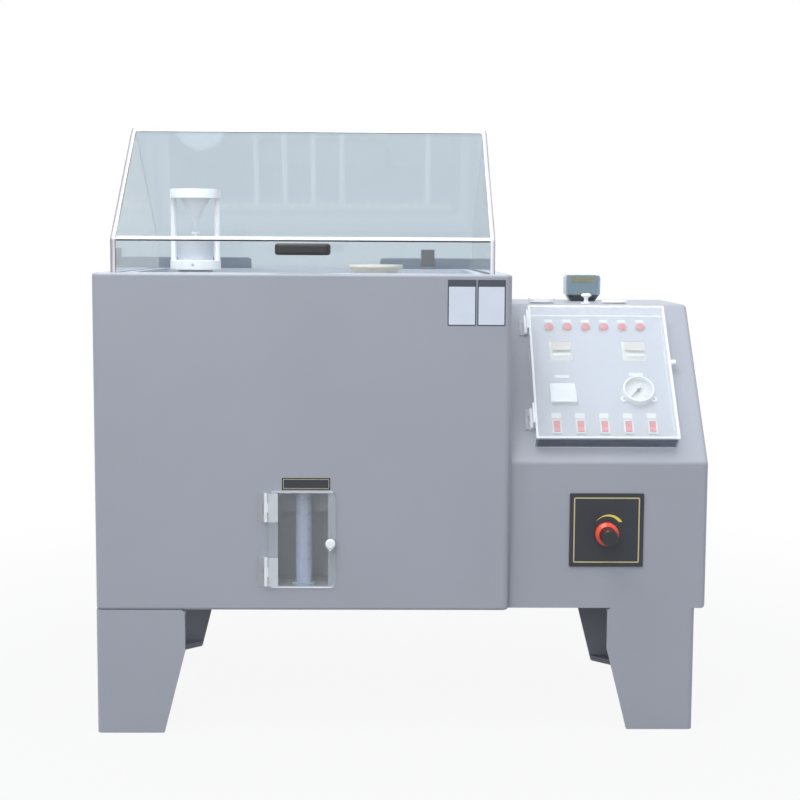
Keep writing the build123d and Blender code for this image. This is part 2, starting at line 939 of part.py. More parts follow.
def fixed_leaf(length, width, pin_height, radius):
    half = length / 2
    middle = hinge_segment(length) + knuckle_gap / 2
    leaf = block(-width, 0, -half, half, 0, leaf_thickness)
    barrel = Pos(0, 0, pin_height) * along_y(radius, -half, half)
    shape = leaf + barrel + block(-radius, 0, -half, half, 0, pin_height)
    reach = radius + 2
    shape -= block(-reach, reach, -middle, middle, -1, pin_height + radius + 1)
    return shape - Pos(0, 0, pin_height) * along_y(hinge_pin_radius + running_gap, -half - 1, half + 1)


def moving_leaf(leaf, length, pin_height, radius):
    half = length / 2
    middle = hinge_segment(length) - knuckle_gap / 2
    reach = radius + 1
    for y0, y1 in [(-half - 1, -middle), (middle, half + 1)]:
        leaf -= block(-reach, reach, y0, y1, pin_height - reach, pin_height + reach)
    leaf += Pos(0, 0, pin_height) * along_y(radius, -middle, middle)
    return leaf - Pos(0, 0, pin_height) * along_y(hinge_pin_radius + running_gap, -half, half)


def hinge_pin(length, pin_height):
    return Pos(0, 0, pin_height) * along_y(hinge_pin_radius, -length / 2, length / 2)


def window_hinge_places():
    middle = door_z0 + door_height / 2
    half = window_hinge_spacing / 2
    x = door_x0 - hinge_set_back
    return [front_face * Pos(x, middle - half, 0), front_face * Pos(x, middle + half, 0)]


def cover_hinge_places():
    x = cover_across - hinge_set_back
    return [slope_face * Pos(x, cover_hinge_low, 0), slope_face * Pos(x, cover_hinge_high, 0)]


def window_pin_height():
    return seat_gap + door_thickness - side_gap


def fixed_hinge_leaves():
    window = fixed_leaf(window_hinge_length, fixed_leaf_width, window_pin_height(), knuckle_radius)
    cover = fixed_leaf(cover_hinge_length, cover_fixed_leaf, cover_pin_height, knuckle_radius)
    leaves = [place * window for place in window_hinge_places()]
    return leaves + [place * cover for place in cover_hinge_places()]


def hinge_pins():
    pins = lid_hinge_pins()
    pins += [place * hinge_pin(window_hinge_length, window_pin_height()) for place in window_hinge_places()]
    pins += [place * hinge_pin(cover_hinge_length, cover_pin_height) for place in cover_hinge_places()]
    return pins


def window_door_leaves():
    height = seat_gap + door_thickness
    half = window_hinge_length / 2
    plate = block(0, moving_leaf_width, -half, half, height, height + leaf_thickness)
    leaf = moving_leaf(plate, window_hinge_length, window_pin_height(), knuckle_radius)
    return [place * leaf for place in window_hinge_places()]


def cover_leaves():
    half = cover_hinge_length / 2
    plate = block(
        hinge_set_back - leaf_thickness, hinge_set_back, -half, half,
        side_gap, side_gap + cover_leaf_height,
    )
    leaf = moving_leaf(plate, cover_hinge_length, cover_pin_height, knuckle_radius)
    return [place * leaf for place in cover_hinge_places()]


def window_door():
    plate = block(door_x0, door_x1, door_z0, door_z1, seat_gap, seat_gap + door_thickness)
    return front_face * fillet(plate.edges().filter_by(Axis.Z), door_corner)


def window_knob():
    foot = seat_gap + door_thickness
    knob = turned([
        (0, foot), (window_knob_radius * 0.6, foot), (window_knob_radius * 0.55, foot + 4),
        (window_knob_radius, foot + 7), (window_knob_radius, foot + window_knob_length - 1.5),
        (window_knob_radius - 2, foot + window_knob_length), (0, foot + window_knob_length),
    ])
    side = window_knob_radius * sqrt(1 - (window_knob_radius / window_knob_point) ** 2)
    drop = window_knob_radius**2 / window_knob_point
    pointer = Polygon((-side, -drop), (0, -window_knob_point), (side, -drop), align=None)
    knob += Pos(0, 0, foot + 7) * extrude(pointer, window_knob_length - 8.5)
    x = door_x1 - window_knob_inset
    return front_face * Pos(x, door_z0 + door_height * 0.47, 0) * knob


# Control cabinet

def control_outline(gap):
    """Side outline of the control cabinet, moved inwards by the gap."""
    slope_z = slope_foot + gap * (sin(slope_angle) - 1) / cos(slope_angle)
    head = control_top - gap
    head_y = control_front + (gap + (head - slope_foot) * cos(slope_angle)) / sin(slope_angle)
    return [
        (control_front + gap, leg_height + gap), (control_front + gap, slope_z),
        (head_y, head), (control_back - gap, head), (control_back - gap, leg_height + gap),
    ]


def control_service():
    """Left, right, foot and head of the service opening in the control cabinet's back."""
    middle = control_left + control_width / 2
    foot = leg_height + control_service_foot
    half = control_width / 2 - control_service_side
    return middle - half, middle + half, foot, control_top - control_service_head


def control_shell():
    outer = extruded([(control_left, y, z) for y, z in control_outline(0)], (1, 0, 0), control_width)
    bends = outer.edges().filter_by(Axis.X).filter_by(
        lambda edge: slope_foot - 1 < edge.center().Z and edge.center().Y < slope_head_y + 1
    )
    outer = fillet(bends, bend_radius)
    outer = fillet(outer.faces().sort_by(Axis.X)[-1].edges(), control_edge_radius)
    inner_points = [(control_left + sheet, y, z) for y, z in control_outline(sheet)]
    shell = outer - extruded(inner_points, (1, 0, 0), control_width - 2 * sheet)
    x0, x1, z0, z1 = control_service()
    shell -= block(x0, x1, control_back - 2 * sheet, control_back + sheet, z0, z1)
    for cut in instrument_cuts() + top_cuts():
        shell -= cut
    shell -= control_face * Pos(plate_x, knob_z, 0) * upright(
        neck_radius + neck_hole_gap, -2 * sheet, sheet
    )
    return shell


def instrument_cuts():
    """Holes in the sloping face for the instruments."""
    cuts = []
    for place in lamp_places():
        cuts.append(place * upright(lamp_stem_radius + panel_fit, -2 * sheet, sheet))
    for place, wide, long, body in meter_places():
        size = body + 2 * panel_fit
        cuts.append(place * block(-size / 2, size / 2, -size / 2, size / 2, -2 * sheet, sheet))
    cuts.append(gauge_place() * upright(gauge_stem_radius + panel_fit, -2 * sheet, sheet))
    half_width = switch_body_width / 2 + panel_fit
    half_length = switch_body_length / 2 + panel_fit
    for place in switch_places():
        cuts.append(place * block(
            -half_width, half_width, -half_length, half_length, -2 * sheet, sheet
        ))
    return cuts


def control_rear_cover():
    x0, x1, z0, z1 = control_service()
    cover = block(
        x0 - panel_lap, x1 + panel_lap, control_back, control_back + panel_thickness,
        z0 - panel_lap, z1 + panel_lap,
    )
    cover = fillet(cover.edges().filter_by(Axis.Y), window_corner)
    for x, z, radius in [gland_place(), inlet_place()]:
        cover -= Pos(x, 0, z) * along_y(
            radius + neck_hole_gap, control_back - sheet, control_back + sheet
        )
    return cover


def gland_place():
    return control_left + gland_across, leg_height + gland_height, gland_thread_radius


def inlet_place():
    return control_left + inlet_across, leg_height + inlet_height, inlet_radius


def cable_gland():
    x, z, radius = gland_place()
    face = control_back + panel_thickness
    body = along_y(radius, face - fitting_tail, face + gland_length)
    nut = Pos(0, face, 0) * Rot(-90, 0, 0) * extrude(RegularPolygon(gland_radius, 6), gland_length * 0.4)
    body += nut
    body += along_y(gland_radius * 0.85, face + gland_length * 0.4, face + gland_length * 0.9)
    body -= along_y(gland_bore, face - 2 * fitting_tail, face + 2 * gland_length)
    return Pos(x, 0, z) * body


def air_inlet():
    """Brass hose barb with its hexagon."""
    x, z, radius = inlet_place()
    face = control_back + panel_thickness
    body = along_y(radius, face - fitting_tail, face + inlet_length)
    body += Pos(0, face, 0) * Rot(-90, 0, 0) * extrude(RegularPolygon(inlet_nut, 6), inlet_nut_length)
    barb_length = (inlet_length - inlet_nut_length) / 4
    for i in range(3):
        y = face + inlet_length - (i + 1) * barb_length
        body += Pos(0, y, 0) * Rot(-90, 0, 0) * Pos(0, 0, barb_length / 2) * Cone(
            radius + inlet_barb, radius, barb_length
        )
    body -= along_y(inlet_bore, face - 2 * fitting_tail, face + 2 * inlet_length)
    return Pos(x, 0, z) * body


# Instruments

def lamp_places():
    return [
        slope_face * Pos(lamp_first + i * lamp_pitch, lamp_up, 0) for i in range(lamp_count)
    ]


def pilot_lamps():
    lamp = turned([
        (0, -lamp_stem), (lamp_stem_radius, -lamp_stem), (lamp_stem_radius, 0), (lamp_radius, 0),
        (lamp_radius, lamp_bezel * 0.6), (lamp_radius - 1, lamp_bezel), (lamp_lens_radius, lamp_bezel),
        (lamp_lens_radius * 0.92, lamp_bezel + lamp_lens_height * 0.5),
        (lamp_lens_radius * 0.6, lamp_bezel + lamp_lens_height * 0.85),
        (0, lamp_bezel + lamp_lens_height),
    ])
    return [place * lamp for place in lamp_places()]


def meter_places():
    """Square instruments: place, bezel width, bezel length and body size."""
    return [
        (slope_face * Pos(meter_left, meter_up, 0), meter_size, meter_size, meter_body),
        (slope_face * Pos(meter_right, meter_up, 0), meter_size, meter_size, meter_body),
        (slope_face * Pos(timer_across, timer_up, 0), timer_width, timer_length, timer_body),
    ]


def panel_meters():
    meters = []
    for place, wide, long, body in meter_places():
        bezel = block(-wide / 2, wide / 2, -long / 2, long / 2, 0, meter_bezel)
        bezel = fillet(bezel.edges().filter_by(Axis.Z), 2)
        bezel = chamfer(bezel.faces().sort_by(Axis.Z)[-1].edges(), 1)
        screen = block(-wide * 0.38, wide * 0.38, -long * 0.05, long * 0.36, meter_bezel - 1, meter_bezel + 1)
        case = block(-body / 2, body / 2, -body / 2, body / 2, -meter_length, 0)
        meters.append(place * (bezel - screen + case))
    return meters


def gauge_place():
    return slope_face * Pos(gauge_across, gauge_up, 0)


def gauge_case():
    inner = gauge_radius - gauge_rim
    case = upright(gauge_radius, 0, gauge_height)
    case = fillet(case.edges().sort_by(Axis.Z)[-1], 1.5)
    for angle in (90, 210, 330):
        ear = Rot(0, 0, angle) * Pos(gauge_lug_circle, 0, 0) * upright(gauge_lug_radius, 0, leaf_thickness)
        case += ear
    case += upright(gauge_stem_radius, -gauge_stem, 0)
    case -= upright(inner - glass_seat, gauge_floor, gauge_height + 1)
    case -= upright(inner, gauge_height - glass_thickness - side_gap, gauge_height + 1)
    case -= upright(needle_shaft_radius + running_gap, gauge_floor - needle_shaft, gauge_floor + 1)
    return gauge_place() * case


def gauge_glass():
    inner = gauge_radius - gauge_rim
    foot = gauge_height - glass_thickness - side_gap
    return gauge_place() * upright(inner - running_gap, foot, foot + glass_thickness)


def gauge_needle():
    low = gauge_floor + needle_rise
    blade = extruded(
        [(-needle_tail, -needle_width / 2, low), (0, -needle_width / 2, low),
         (needle_length, -0.3, low), (needle_length, 0.3, low), (0, needle_width / 2, low),
         (-needle_tail, needle_width / 2, low)],
        (0, 0, 1), needle_thickness,
    )
    hub = upright(needle_hub_radius, low - 1, low + needle_thickness + 1)
    shaft = upright(needle_shaft_radius, gauge_floor - needle_shaft + 1, low)
    return gauge_place() * Rot(0, 0, needle_rest_angle) * (blade + hub + shaft)


def switch_places():
    return [
        slope_face * Pos(switch_first + i * switch_pitch, switch_up, 0) for i in range(switch_count)
    ]


def switch_housings():
    """Rocker switch bodies, each with the pocket that its rocker swings in."""
    bezel = block(-switch_width / 2, switch_width / 2, -switch_length / 2, switch_length / 2, 0, switch_bezel)
    bezel = fillet(bezel.edges().filter_by(Axis.Z), 2)
    body = block(
        -switch_body_width / 2, switch_body_width / 2,
        -switch_body_length / 2, switch_body_length / 2, -switch_body_depth, 0,
    )
    pocket_half = rocker_width / 2 + rocker_gap
    pocket_long = rocker_radius + rocker_gap
    pocket = block(
        -pocket_half, pocket_half, -pocket_long, pocket_long,
        -rocker_depth - 2 * rocker_rise, switch_bezel + 1,
    )
    reach = rocker_width / 2 + rocker_pin + rocker_gap
    housing = bezel + body - pocket - along_x(rocker_pin_radius + running_gap, -reach, reach)
    return [place * housing for place in switch_places()]


def rocker():
    """Rocker with round ends about its pin, resting with its lower end pressed."""
    half = rocker_width / 2
    drum = along_x(rocker_radius, -half, half)
    drum &= block(-half, half, -rocker_radius, rocker_radius, -rocker_depth, 2 * rocker_radius)
    high = rocker_radius * 2
    top = extruded(
        [(-half, -high, rocker_end_rise + high * 0.3), (-half, 0, rocker_end_rise),
         (-half, high, rocker_end_rise + high * 0.3), (-half, high, high), (-half, -high, high)],
        (1, 0, 0), rocker_width,
    )
    drum -= top
    drum += along_x(rocker_pin_radius, -half - rocker_pin, half + rocker_pin)
    return drum.rotate(Axis.X, rocker_tilt)


# Clear cover

def control_cover():
    x0 = cover_across
    x1 = x0 + cover_width
    y0 = cover_up
    y1 = y0 + cover_length
    top = seat_gap + cover_height
    outer = block(x0, x1, y0, y1, seat_gap, top)
    outer = fillet(outer.edges().filter_by(Axis.Z), cover_wall * 0.6)
    inner = block(
        x0 + cover_wall, x1 - cover_wall, y0 + cover_wall, y1 - cover_wall, -1, top - cover_wall
    )
    return slope_face * (outer - inner)


def cover_knob():
    x = cover_across + cover_width
    knob = turned([
        (0, 0), (cover_knob_radius * 0.6, 0), (cover_knob_radius * 0.6, 3),
        (cover_knob_radius, 5), (cover_knob_radius, cover_knob_length - 1),
        (cover_knob_radius - 1, cover_knob_length), (0, cover_knob_length),
    ])
    return slope_face * Pos(x, cover_knob_up, cover_height / 2) * Rot(0, 90, 0) * knob


# Air regulator

def regulator_plate():
    half = plate_size / 2
    plate = block(-half, half, -half, half, 0, plate_thickness)
    plate = fillet(plate.edges().filter_by(Axis.Z), 2)
    plate -= Pos(0, knob_z - plate_z, 0) * upright(neck_radius + neck_hole_gap, -1, plate_thickness + 1)
    return control_face * Pos(plate_x, plate_z, 0) * plate


def air_regulator():
    """Regulator body behind the panel, with its neck through the panel and plate."""
    half = regulator_size / 2
    body = block(-half, half, -half, half, -sheet - regulator_depth, -sheet)
    body = fillet(body.edges().filter_by(Axis.Z), regulator_corner)
    body += upright(half * 0.8, -sheet - regulator_depth - regulator_bowl, -sheet - regulator_depth)
    body += upright(neck_radius, -sheet, plate_thickness)
    reach = half + regulator_port_reach
    body += Pos(0, 0, -sheet - regulator_depth / 2) * along_x(regulator_port_radius, -reach, reach)
    bore_foot = -sheet - knob_shaft_depth - knob_shaft_room
    body -= upright(knob_shaft_radius + running_gap, bore_foot, plate_thickness + 1)
    return control_face * Pos(plate_x, knob_z, 0) * body


def knob_place():
    return control_face * Pos(plate_x, knob_z, 0)


def regulator_ring():
    foot = plate_thickness + knob_ring_gap
    ring = turned([
        (knob_cap_radius, foot), (knob_ring_radius, foot),
        (knob_ring_radius, foot + knob_ring_length - 5),
        (knob_cap_radius + 1, foot + knob_ring_length), (knob_cap_radius, foot + knob_ring_length),
    ])
    return knob_place() * ring


def regulator_knob():
    foot = plate_thickness + knob_ring_gap
    knob = turned([
        (0, foot), (knob_cap_radius, foot), (knob_cap_radius, foot + knob_ring_length),
        (knob_cap_radius, knob_length + plate_thickness - 2),
        (knob_cap_radius - 2, knob_length + plate_thickness), (0, knob_length + plate_thickness),
    ])
    for i in range(knob_groove_count):
        turn = Rot(0, 0, i * 360 / knob_groove_count)
        knob -= turn * Pos(knob_cap_radius + knob_groove_radius / 2, 0, 0) * upright(
            knob_groove_radius, foot + knob_ring_length + 2, knob_length + plate_thickness + 1
        )
    knob += upright(knob_shaft_radius, -sheet - knob_shaft_depth, foot)
    return knob_place() * knob


# Fittings on the control cabinet's top

def hopper_centre():
    return control_left + hopper_across, control_back - hopper_back


def filler_hopper():
    """Open hopper with rounded upper corners, its foot narrowing to the neck."""
    x, y = hopper_centre()
    half = hopper_width / 2
    foot_half = half - hopper_chamfer_width
    z0 = control_top
    z1 = z0 + hopper_height
    y0 = y - hopper_depth / 2
    outline = [
        (x - foot_half, y0, z0), (x + foot_half, y0, z0), (x + half, y0, z0 + hopper_chamfer_height),
        (x + half, y0, z1), (x - half, y0, z1), (x - half, y0, z0 + hopper_chamfer_height),
    ]
    outer = extruded(outline, (0, 1, 0), hopper_depth)
    outer = fillet(outer.edges().filter_by(Axis.Y).group_by(Axis.Z)[-1], hopper_corner)
    w = hopper_wall
    inner_outline = [
        (x - foot_half + w, y0 + w, z0 + w), (x + foot_half - w, y0 + w, z0 + w),
        (x + half - w, y0 + w, z0 + hopper_chamfer_height + w), (x + half - w, y0 + w, z1 + 1),
        (x - half + w, y0 + w, z1 + 1), (x - half + w, y0 + w, z0 + hopper_chamfer_height + w),
    ]
    hopper = outer - extruded(inner_outline, (0, 1, 0), hopper_depth - 2 * w)
    neck_foot = barrel_top()
    hopper += Pos(x, y, 0) * upright(neck_pipe_radius, neck_foot, z0)
    return hopper - Pos(x, y, 0) * upright(neck_pipe_bore, neck_foot - 1, z0 + w + 1)


def barrel_top():
    return leg_height + sheet + barrel_foot + barrel_height


def saturator_barrel():
    """Pressure barrel with domed ends that warms and wets the air, under the hopper."""
    x, y = hopper_centre()
    foot = leg_height + sheet
    low = foot + barrel_foot
    high = barrel_top()
    dome = []
    for angle in (0, 30, 60):
        dome.append((barrel_radius * cos(radians(angle)), barrel_dome * (1 - sin(radians(angle)))))
    outline = [(0, high), (neck_pipe_radius, high)]
    outline += [(r, high - drop) for r, drop in reversed(dome)]
    outline += [(r, low + drop) for r, drop in dome]
    outline += [(neck_pipe_radius, low), (0, low)]
    barrel = turned(outline)
    skirt_radius = barrel_radius * cos(radians(30))
    skirt = upright(skirt_radius, foot, low + barrel_dome)
    skirt -= upright(skirt_radius - barrel_wall, foot - 1, low + barrel_dome + 1)
    barrel += skirt
    return Pos(x, y, 0) * (barrel - upright(neck_pipe_bore, high - barrel_dome, high + 1))


def plug_place():
    return Pos(control_left + plug_across, slope_head_y + plug_set_back, control_top)


def port_places():
    """Ports under the two caps: place, outer radius and height of the cap."""
    y = slope_head_y + port_set_back
    return [
        (Pos(control_left + left_cap_across, y, control_top), left_cap_radius, left_cap_height),
        (Pos(control_left + right_cap_across, y, control_top), right_cap_radius, right_cap_height),
    ]


def port_radius(cap_radius):
    """Outer radius of the tube that a cap closes."""
    return cap_radius - port_bore_gap


def top_cuts():
    """Holes in the control cabinet's top."""
    x, y = hopper_centre()
    cuts = [Pos(x, y, control_top) * upright(neck_pipe_radius + neck_hole_gap, -2 * sheet, sheet)]
    cuts.append(plug_place() * upright(plug_foot_radius - 1, -2 * sheet, sheet))
    for place, radius, height in port_places():
        cuts.append(place * upright(port_radius(radius) - 1, -2 * sheet, sheet))
    return cuts


def port_necks():
    """Tubes that hang in the top plate under the caps and the plug."""
    necks = []
    for place, radius, height in port_places():
        outer = port_radius(radius)
        tube = upright(outer - 1 - panel_fit, -port_tube, 0) + upright(outer + 1, 0, 2)
        tube -= upright(outer - 1 - panel_fit - port_wall, -port_tube - 1, 3)
        necks.append(place * tube)
    tube = upright(plug_foot_radius - 1 - panel_fit, -port_tube, 0) + upright(plug_foot_radius + 1, 0, 2)
    tube -= upright(plug_stem_radius + panel_fit, -port_tube - 1, 3)
    necks.append(plug_place() * tube)
    return necks


def filler_plug():
    foot = 2 + cap_fit
    plug = turned([
        (0, -plug_depth), (plug_stem_radius - 0.5, -plug_depth), (plug_stem_radius - 0.2, 0),
        (plug_stem_radius, foot), (plug_stem_radius - 1, foot + 3),
        (plug_stem_radius - 1, plug_height - plug_cap), (plug_radius, plug_height - plug_cap * 0.5),
        (plug_radius * 0.94, plug_height - plug_cap * 0.25), (plug_radius * 0.6, plug_height),
        (0, plug_height),
    ])
    return plug_place() * plug


def port_cap(index):
    """Flat cap with a lip that fits inside the port's tube."""
    place, radius, height = port_places()[index]
    foot = 2 + cap_fit
    inner = port_radius(radius) - 1 - panel_fit - port_wall - cap_fit
    cap = upright(radius, foot, height)
    cap = fillet(cap.edges().sort_by(Axis.Z)[-1], min(1.5, (height - foot) / 3))
    cap += upright(inner, foot - cap_lip, foot) - upright(inner - port_wall / 2, foot - cap_lip - 1, foot)
    return place * cap


def built():
    """Every sub-part by its name, each as one solid or a list of like solids."""
    nodes = {
        "cabinet_shell": cabinet_shell(),
        "cabinet_base": cabinet_base(),
        "inner_tank": inner_tank(),
        "front_left_leg": placed_leg(cabinet_left, cabinet_front, True, True),
        "rear_left_leg": placed_leg(cabinet_left, cabinet_back, True, False),
        "front_right_leg": placed_leg(control_right - right_leg_inset, control_front, False, True),
        "rear_right_leg": placed_leg(control_right - right_leg_inset, control_back, False, False),
        "rear_service_panel": rear_service_panel(),
        "rear_pipe_stubs": rear_pipe_stubs(),
        "tank_heater": tank_heater(),
        "rack_rails": rack_rails(),
        "specimen_rods": specimen_rods(),
        "collecting_funnel": collecting_funnel(),
        "collector_pipe": collector_pipe(),
        "drip_spout": drip_spout(),
        "measuring_cylinder": measuring_cylinder(),
        "measuring_niche": measuring_niche(),
        "spray_pipe": spray_pipe(),
        "spray_nozzle": spray_nozzle(),
        "tower_collar": tower_collar(),
        "tower_set_screw": tower_set_screw(),
        "tower_posts": tower_posts(),
        "tower_cap": tower_cap(),
        "lid_shell": lid_shell(),
        "lid_handle": lid_handle(),
        "lid_hinge_carriers": lid_hinge_carriers(),
        "lid_hinge_lugs": lid_hinge_lugs(),
        "hinge_pins": hinge_pins(),
        "fixed_hinge_leaves": fixed_hinge_leaves(),
        "window_door": window_door(),
        "window_door_leaves": window_door_leaves(),
        "window_knob": window_knob(),
        "control_shell": control_shell(),
        "control_rear_cover": control_rear_cover(),
        "cable_gland": cable_gland(),
        "air_inlet": air_inlet(),
        "pilot_lamps": pilot_lamps(),
        "panel_meters": panel_meters(),
        "gauge_case": gauge_case(),
        "gauge_glass": gauge_glass(),
        "gauge_needle": gauge_needle(),
        "switch_housings": switch_housings(),
        "control_cover": control_cover(),
        "cover_leaves": cover_leaves(),
        "cover_knob": cover_knob(),
        "regulator_plate": regulator_plate(),
        "air_regulator": air_regulator(),
        "regulator_ring": regulator_ring(),
        "regulator_knob": regulator_knob(),
        "filler_hopper": filler_hopper(),
        "saturator_barrel": saturator_barrel(),
        "port_necks": port_necks(),
        "filler_plug": filler_plug(),
        "left_port_cap": port_cap(0),
        "right_port_cap": port_cap(1),
    }
    for number, place in enumerate(switch_places(), start=1):
        nodes[f"rocker_{number}"] = place * rocker()
    return nodes


os.makedirs("parts", exist_ok=True)
for name, shape in built().items():
    solid = Compound(children=shape) if isinstance(shape, list) else shape
    export_step(solid, f"parts/{name}.step")
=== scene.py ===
import math

import bmesh
import bpy
from mathutils import Matrix, Vector


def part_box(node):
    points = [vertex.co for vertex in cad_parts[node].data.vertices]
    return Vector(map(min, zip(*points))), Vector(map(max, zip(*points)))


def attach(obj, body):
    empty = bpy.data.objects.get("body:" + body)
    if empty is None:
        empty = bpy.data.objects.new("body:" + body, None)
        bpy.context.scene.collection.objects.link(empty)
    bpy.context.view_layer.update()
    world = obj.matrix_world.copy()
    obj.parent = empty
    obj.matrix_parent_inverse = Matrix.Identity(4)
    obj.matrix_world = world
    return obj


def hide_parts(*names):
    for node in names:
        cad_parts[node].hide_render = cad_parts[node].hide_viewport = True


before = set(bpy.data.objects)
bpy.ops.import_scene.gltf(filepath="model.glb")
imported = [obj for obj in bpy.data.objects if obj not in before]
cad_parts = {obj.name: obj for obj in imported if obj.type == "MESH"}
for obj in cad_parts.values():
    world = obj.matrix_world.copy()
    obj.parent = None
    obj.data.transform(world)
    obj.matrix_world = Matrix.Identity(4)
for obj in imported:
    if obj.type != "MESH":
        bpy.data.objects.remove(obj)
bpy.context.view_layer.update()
mm = 0.001


# Viewpoint. The machine is seen from 2.6 m in front, at chest height, through a short
# telephoto lens that looks slightly down.
pitch, yaw, roll = (math.radians(angle) for angle in (5.817, 0.889, 0.316))
forward = Vector((
    math.sin(yaw) * math.cos(pitch), math.cos(yaw) * math.cos(pitch), -math.sin(pitch)
))
level = Vector((math.cos(yaw), -math.sin(yaw), 0.0))
upward = level.cross(forward)
lens = bpy.data.cameras.new("camera")
lens.sensor_width = 36.0
lens.lens = 68.70
camera = bpy.data.objects.new("camera", lens)
bpy.context.scene.collection.objects.link(camera)
camera.matrix_world = Matrix.Translation(Vector((-47.45, -2917.26, 856.47)) * mm) @ Matrix((
    math.cos(roll) * level + math.sin(roll) * upward,
    math.cos(roll) * upward - math.sin(roll) * level,
    -forward,
)).transposed().to_4x4()
bpy.context.scene.camera = camera
bpy.context.scene.view_settings.view_transform = "Standard"


# Studio. A pale seamless floor under a soft dome that is brighter overhead, with one broad lamp
# above the front and another well before it. Dome and floor are plain white where looked at.
def tint(code):
    """Linear colour of an sRGB hex code."""
    parts = [int(code[i:i + 2], 16) / 255 for i in (0, 2, 4)]
    return [p / 12.92 if p <= 0.04045 else ((p + 0.055) / 1.055) ** 2.4 for p in parts] + [1.0]


def add_node(tree, kind, inputs=None, **settings):
    """Adds a node, makes its settings, and fills its sockets with values or links."""
    made = tree.nodes.new("ShaderNode" + kind)
    for name, value in settings.items():
        setattr(made, name, value)
    for name, value in (inputs or {}).items():
        if isinstance(value, bpy.types.NodeSocket):
            tree.links.new(value, made.inputs[name])
        else:
            made.inputs[name].default_value = value
    return made


def begin_material(name):
    """A new empty material, its node tree and its Object coordinates."""
    material = bpy.data.materials.new(name)
    material.use_nodes = True
    tree = material.node_tree
    tree.nodes.clear()
    return material, tree, add_node(tree, "TexCoord").outputs["Object"]


def end_material(tree, shader):
    """Links a shader to the material's output."""
    add_node(tree, "OutputMaterial", {"Surface": shader})


def step(tree, value, edge, above=True):
    """1 where value is above (or below) edge, else 0."""
    return add_node(tree, "Math", {0: value, 1: edge},
                    operation="GREATER_THAN" if above else "LESS_THAN").outputs[0]


def either(tree, first, second):
    """The larger of two masks."""
    return add_node(tree, "Math", {0: first, 1: second}, operation="MAXIMUM").outputs[0]


def both(tree, first, second):
    """The product of two masks."""
    return add_node(tree, "Math", {0: first, 1: second}, operation="MULTIPLY").outputs[0]


def looked_at(tree):
    """1 for rays from the camera, also by way of a mirror or glass, 0 after a matt surface."""
    path = add_node(tree, "LightPath")
    seen = either(tree, path.outputs["Is Camera Ray"], path.outputs["Is Glossy Ray"])
    seen = either(tree, seen, path.outputs["Is Transmission Ray"])
    return both(tree, seen, step(tree, path.outputs["Diffuse Depth"], 0.5, above=False))


world = bpy.data.worlds.new("studio_dome")
bpy.context.scene.world = world
world.use_nodes = True
tree = world.node_tree
tree.nodes.clear()
bearing = add_node(tree, "SeparateXYZ", {0: add_node(tree, "TexCoord").outputs["Generated"]})
rise = add_node(tree, "MapRange", {"Value": bearing.outputs["Z"], "To Min": 0.10, "To Max": 1.9})
dome = add_node(tree, "Background", {"Color": tint("F6F9FF"), "Strength": rise.outputs[0]})
white = add_node(tree, "Background", {"Color": tint("FFFFFF"), "Strength": 1.0})
sky = add_node(tree, "MixShader", {
    0: looked_at(tree), 1: dome.outputs[0], 2: white.outputs[0],
})
add_node(tree, "OutputWorld", {"Surface": sky.outputs[0]})

material, tree, coords = begin_material("painted_studio_floor")
grain = add_node(tree, "TexNoise", {"Vector": coords, "Scale": 90.0, "Detail": 3.0})
paint = add_node(tree, "MixRGB", {
    "Fac": grain.outputs["Fac"], "Color1": tint("84868A"), "Color2": tint("8E9094"),
})
matt = add_node(tree, "BsdfDiffuse", {"Color": paint.outputs[0]})
glow = add_node(tree, "Emission", {"Color": tint("FFFFFF"), "Strength": 1.0})
far = add_node(tree, "MapRange", {
    "Value": add_node(tree, "VectorMath", {0: coords}, operation="LENGTH").outputs["Value"],
    "From Min": 0.7, "From Max": 2.2, "To Min": 0.92, "To Max": 1.0,
}, interpolation_type="SMOOTHSTEP")
mixed = add_node(tree, "MixShader", {
    0: both(tree, looked_at(tree), far.outputs[0]), 1: matt.outputs[0], 2: glow.outputs[0],
})
end_material(tree, mixed.outputs[0])
bpy.ops.object.select_all(action="DESELECT")
bpy.ops.mesh.primitive_plane_add(size=600.0, location=(0.0, 0.0, -0.0003))
floor = bpy.context.object
floor.name = "studio_floor"
floor.data.materials.append(material)

for name, place, aim, size, power in [
    ("overhead_softbox", (-0.7, -1.0, 3.3), (0.2, -0.1, 0.5), (2.0, 1.4), 50.0),
    ("front_softbox", (-1.6, -4.6, 2.4), (0.0, 0.0, 0.5), (2.4, 2.4), 46.0),
]:
    lamp = bpy.data.lights.new(name, "AREA")
    lamp.shape = "RECTANGLE"
    lamp.size, lamp.size_y = size
    lamp.energy = power
    holder = bpy.data.objects.new(name, lamp)
    bpy.context.scene.collection.objects.link(holder)
    holder.location = place
    holder.rotation_euler = (Vector(aim) - Vector(place)).to_track_quat("-Z", "Y").to_euler()


# Cabinet and legs. Grey rigid PVC sheet, pressed between satin plates, cut and hot-air welded.
# The outer corners are routed round. The sheet's grain is a fine leather, about 1 mm across.
def dress(finish, *names):
    """Gives CAD nodes a finish."""
    for name in names:
        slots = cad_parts[name].data.materials
        slots.clear()
        slots.append(finish)


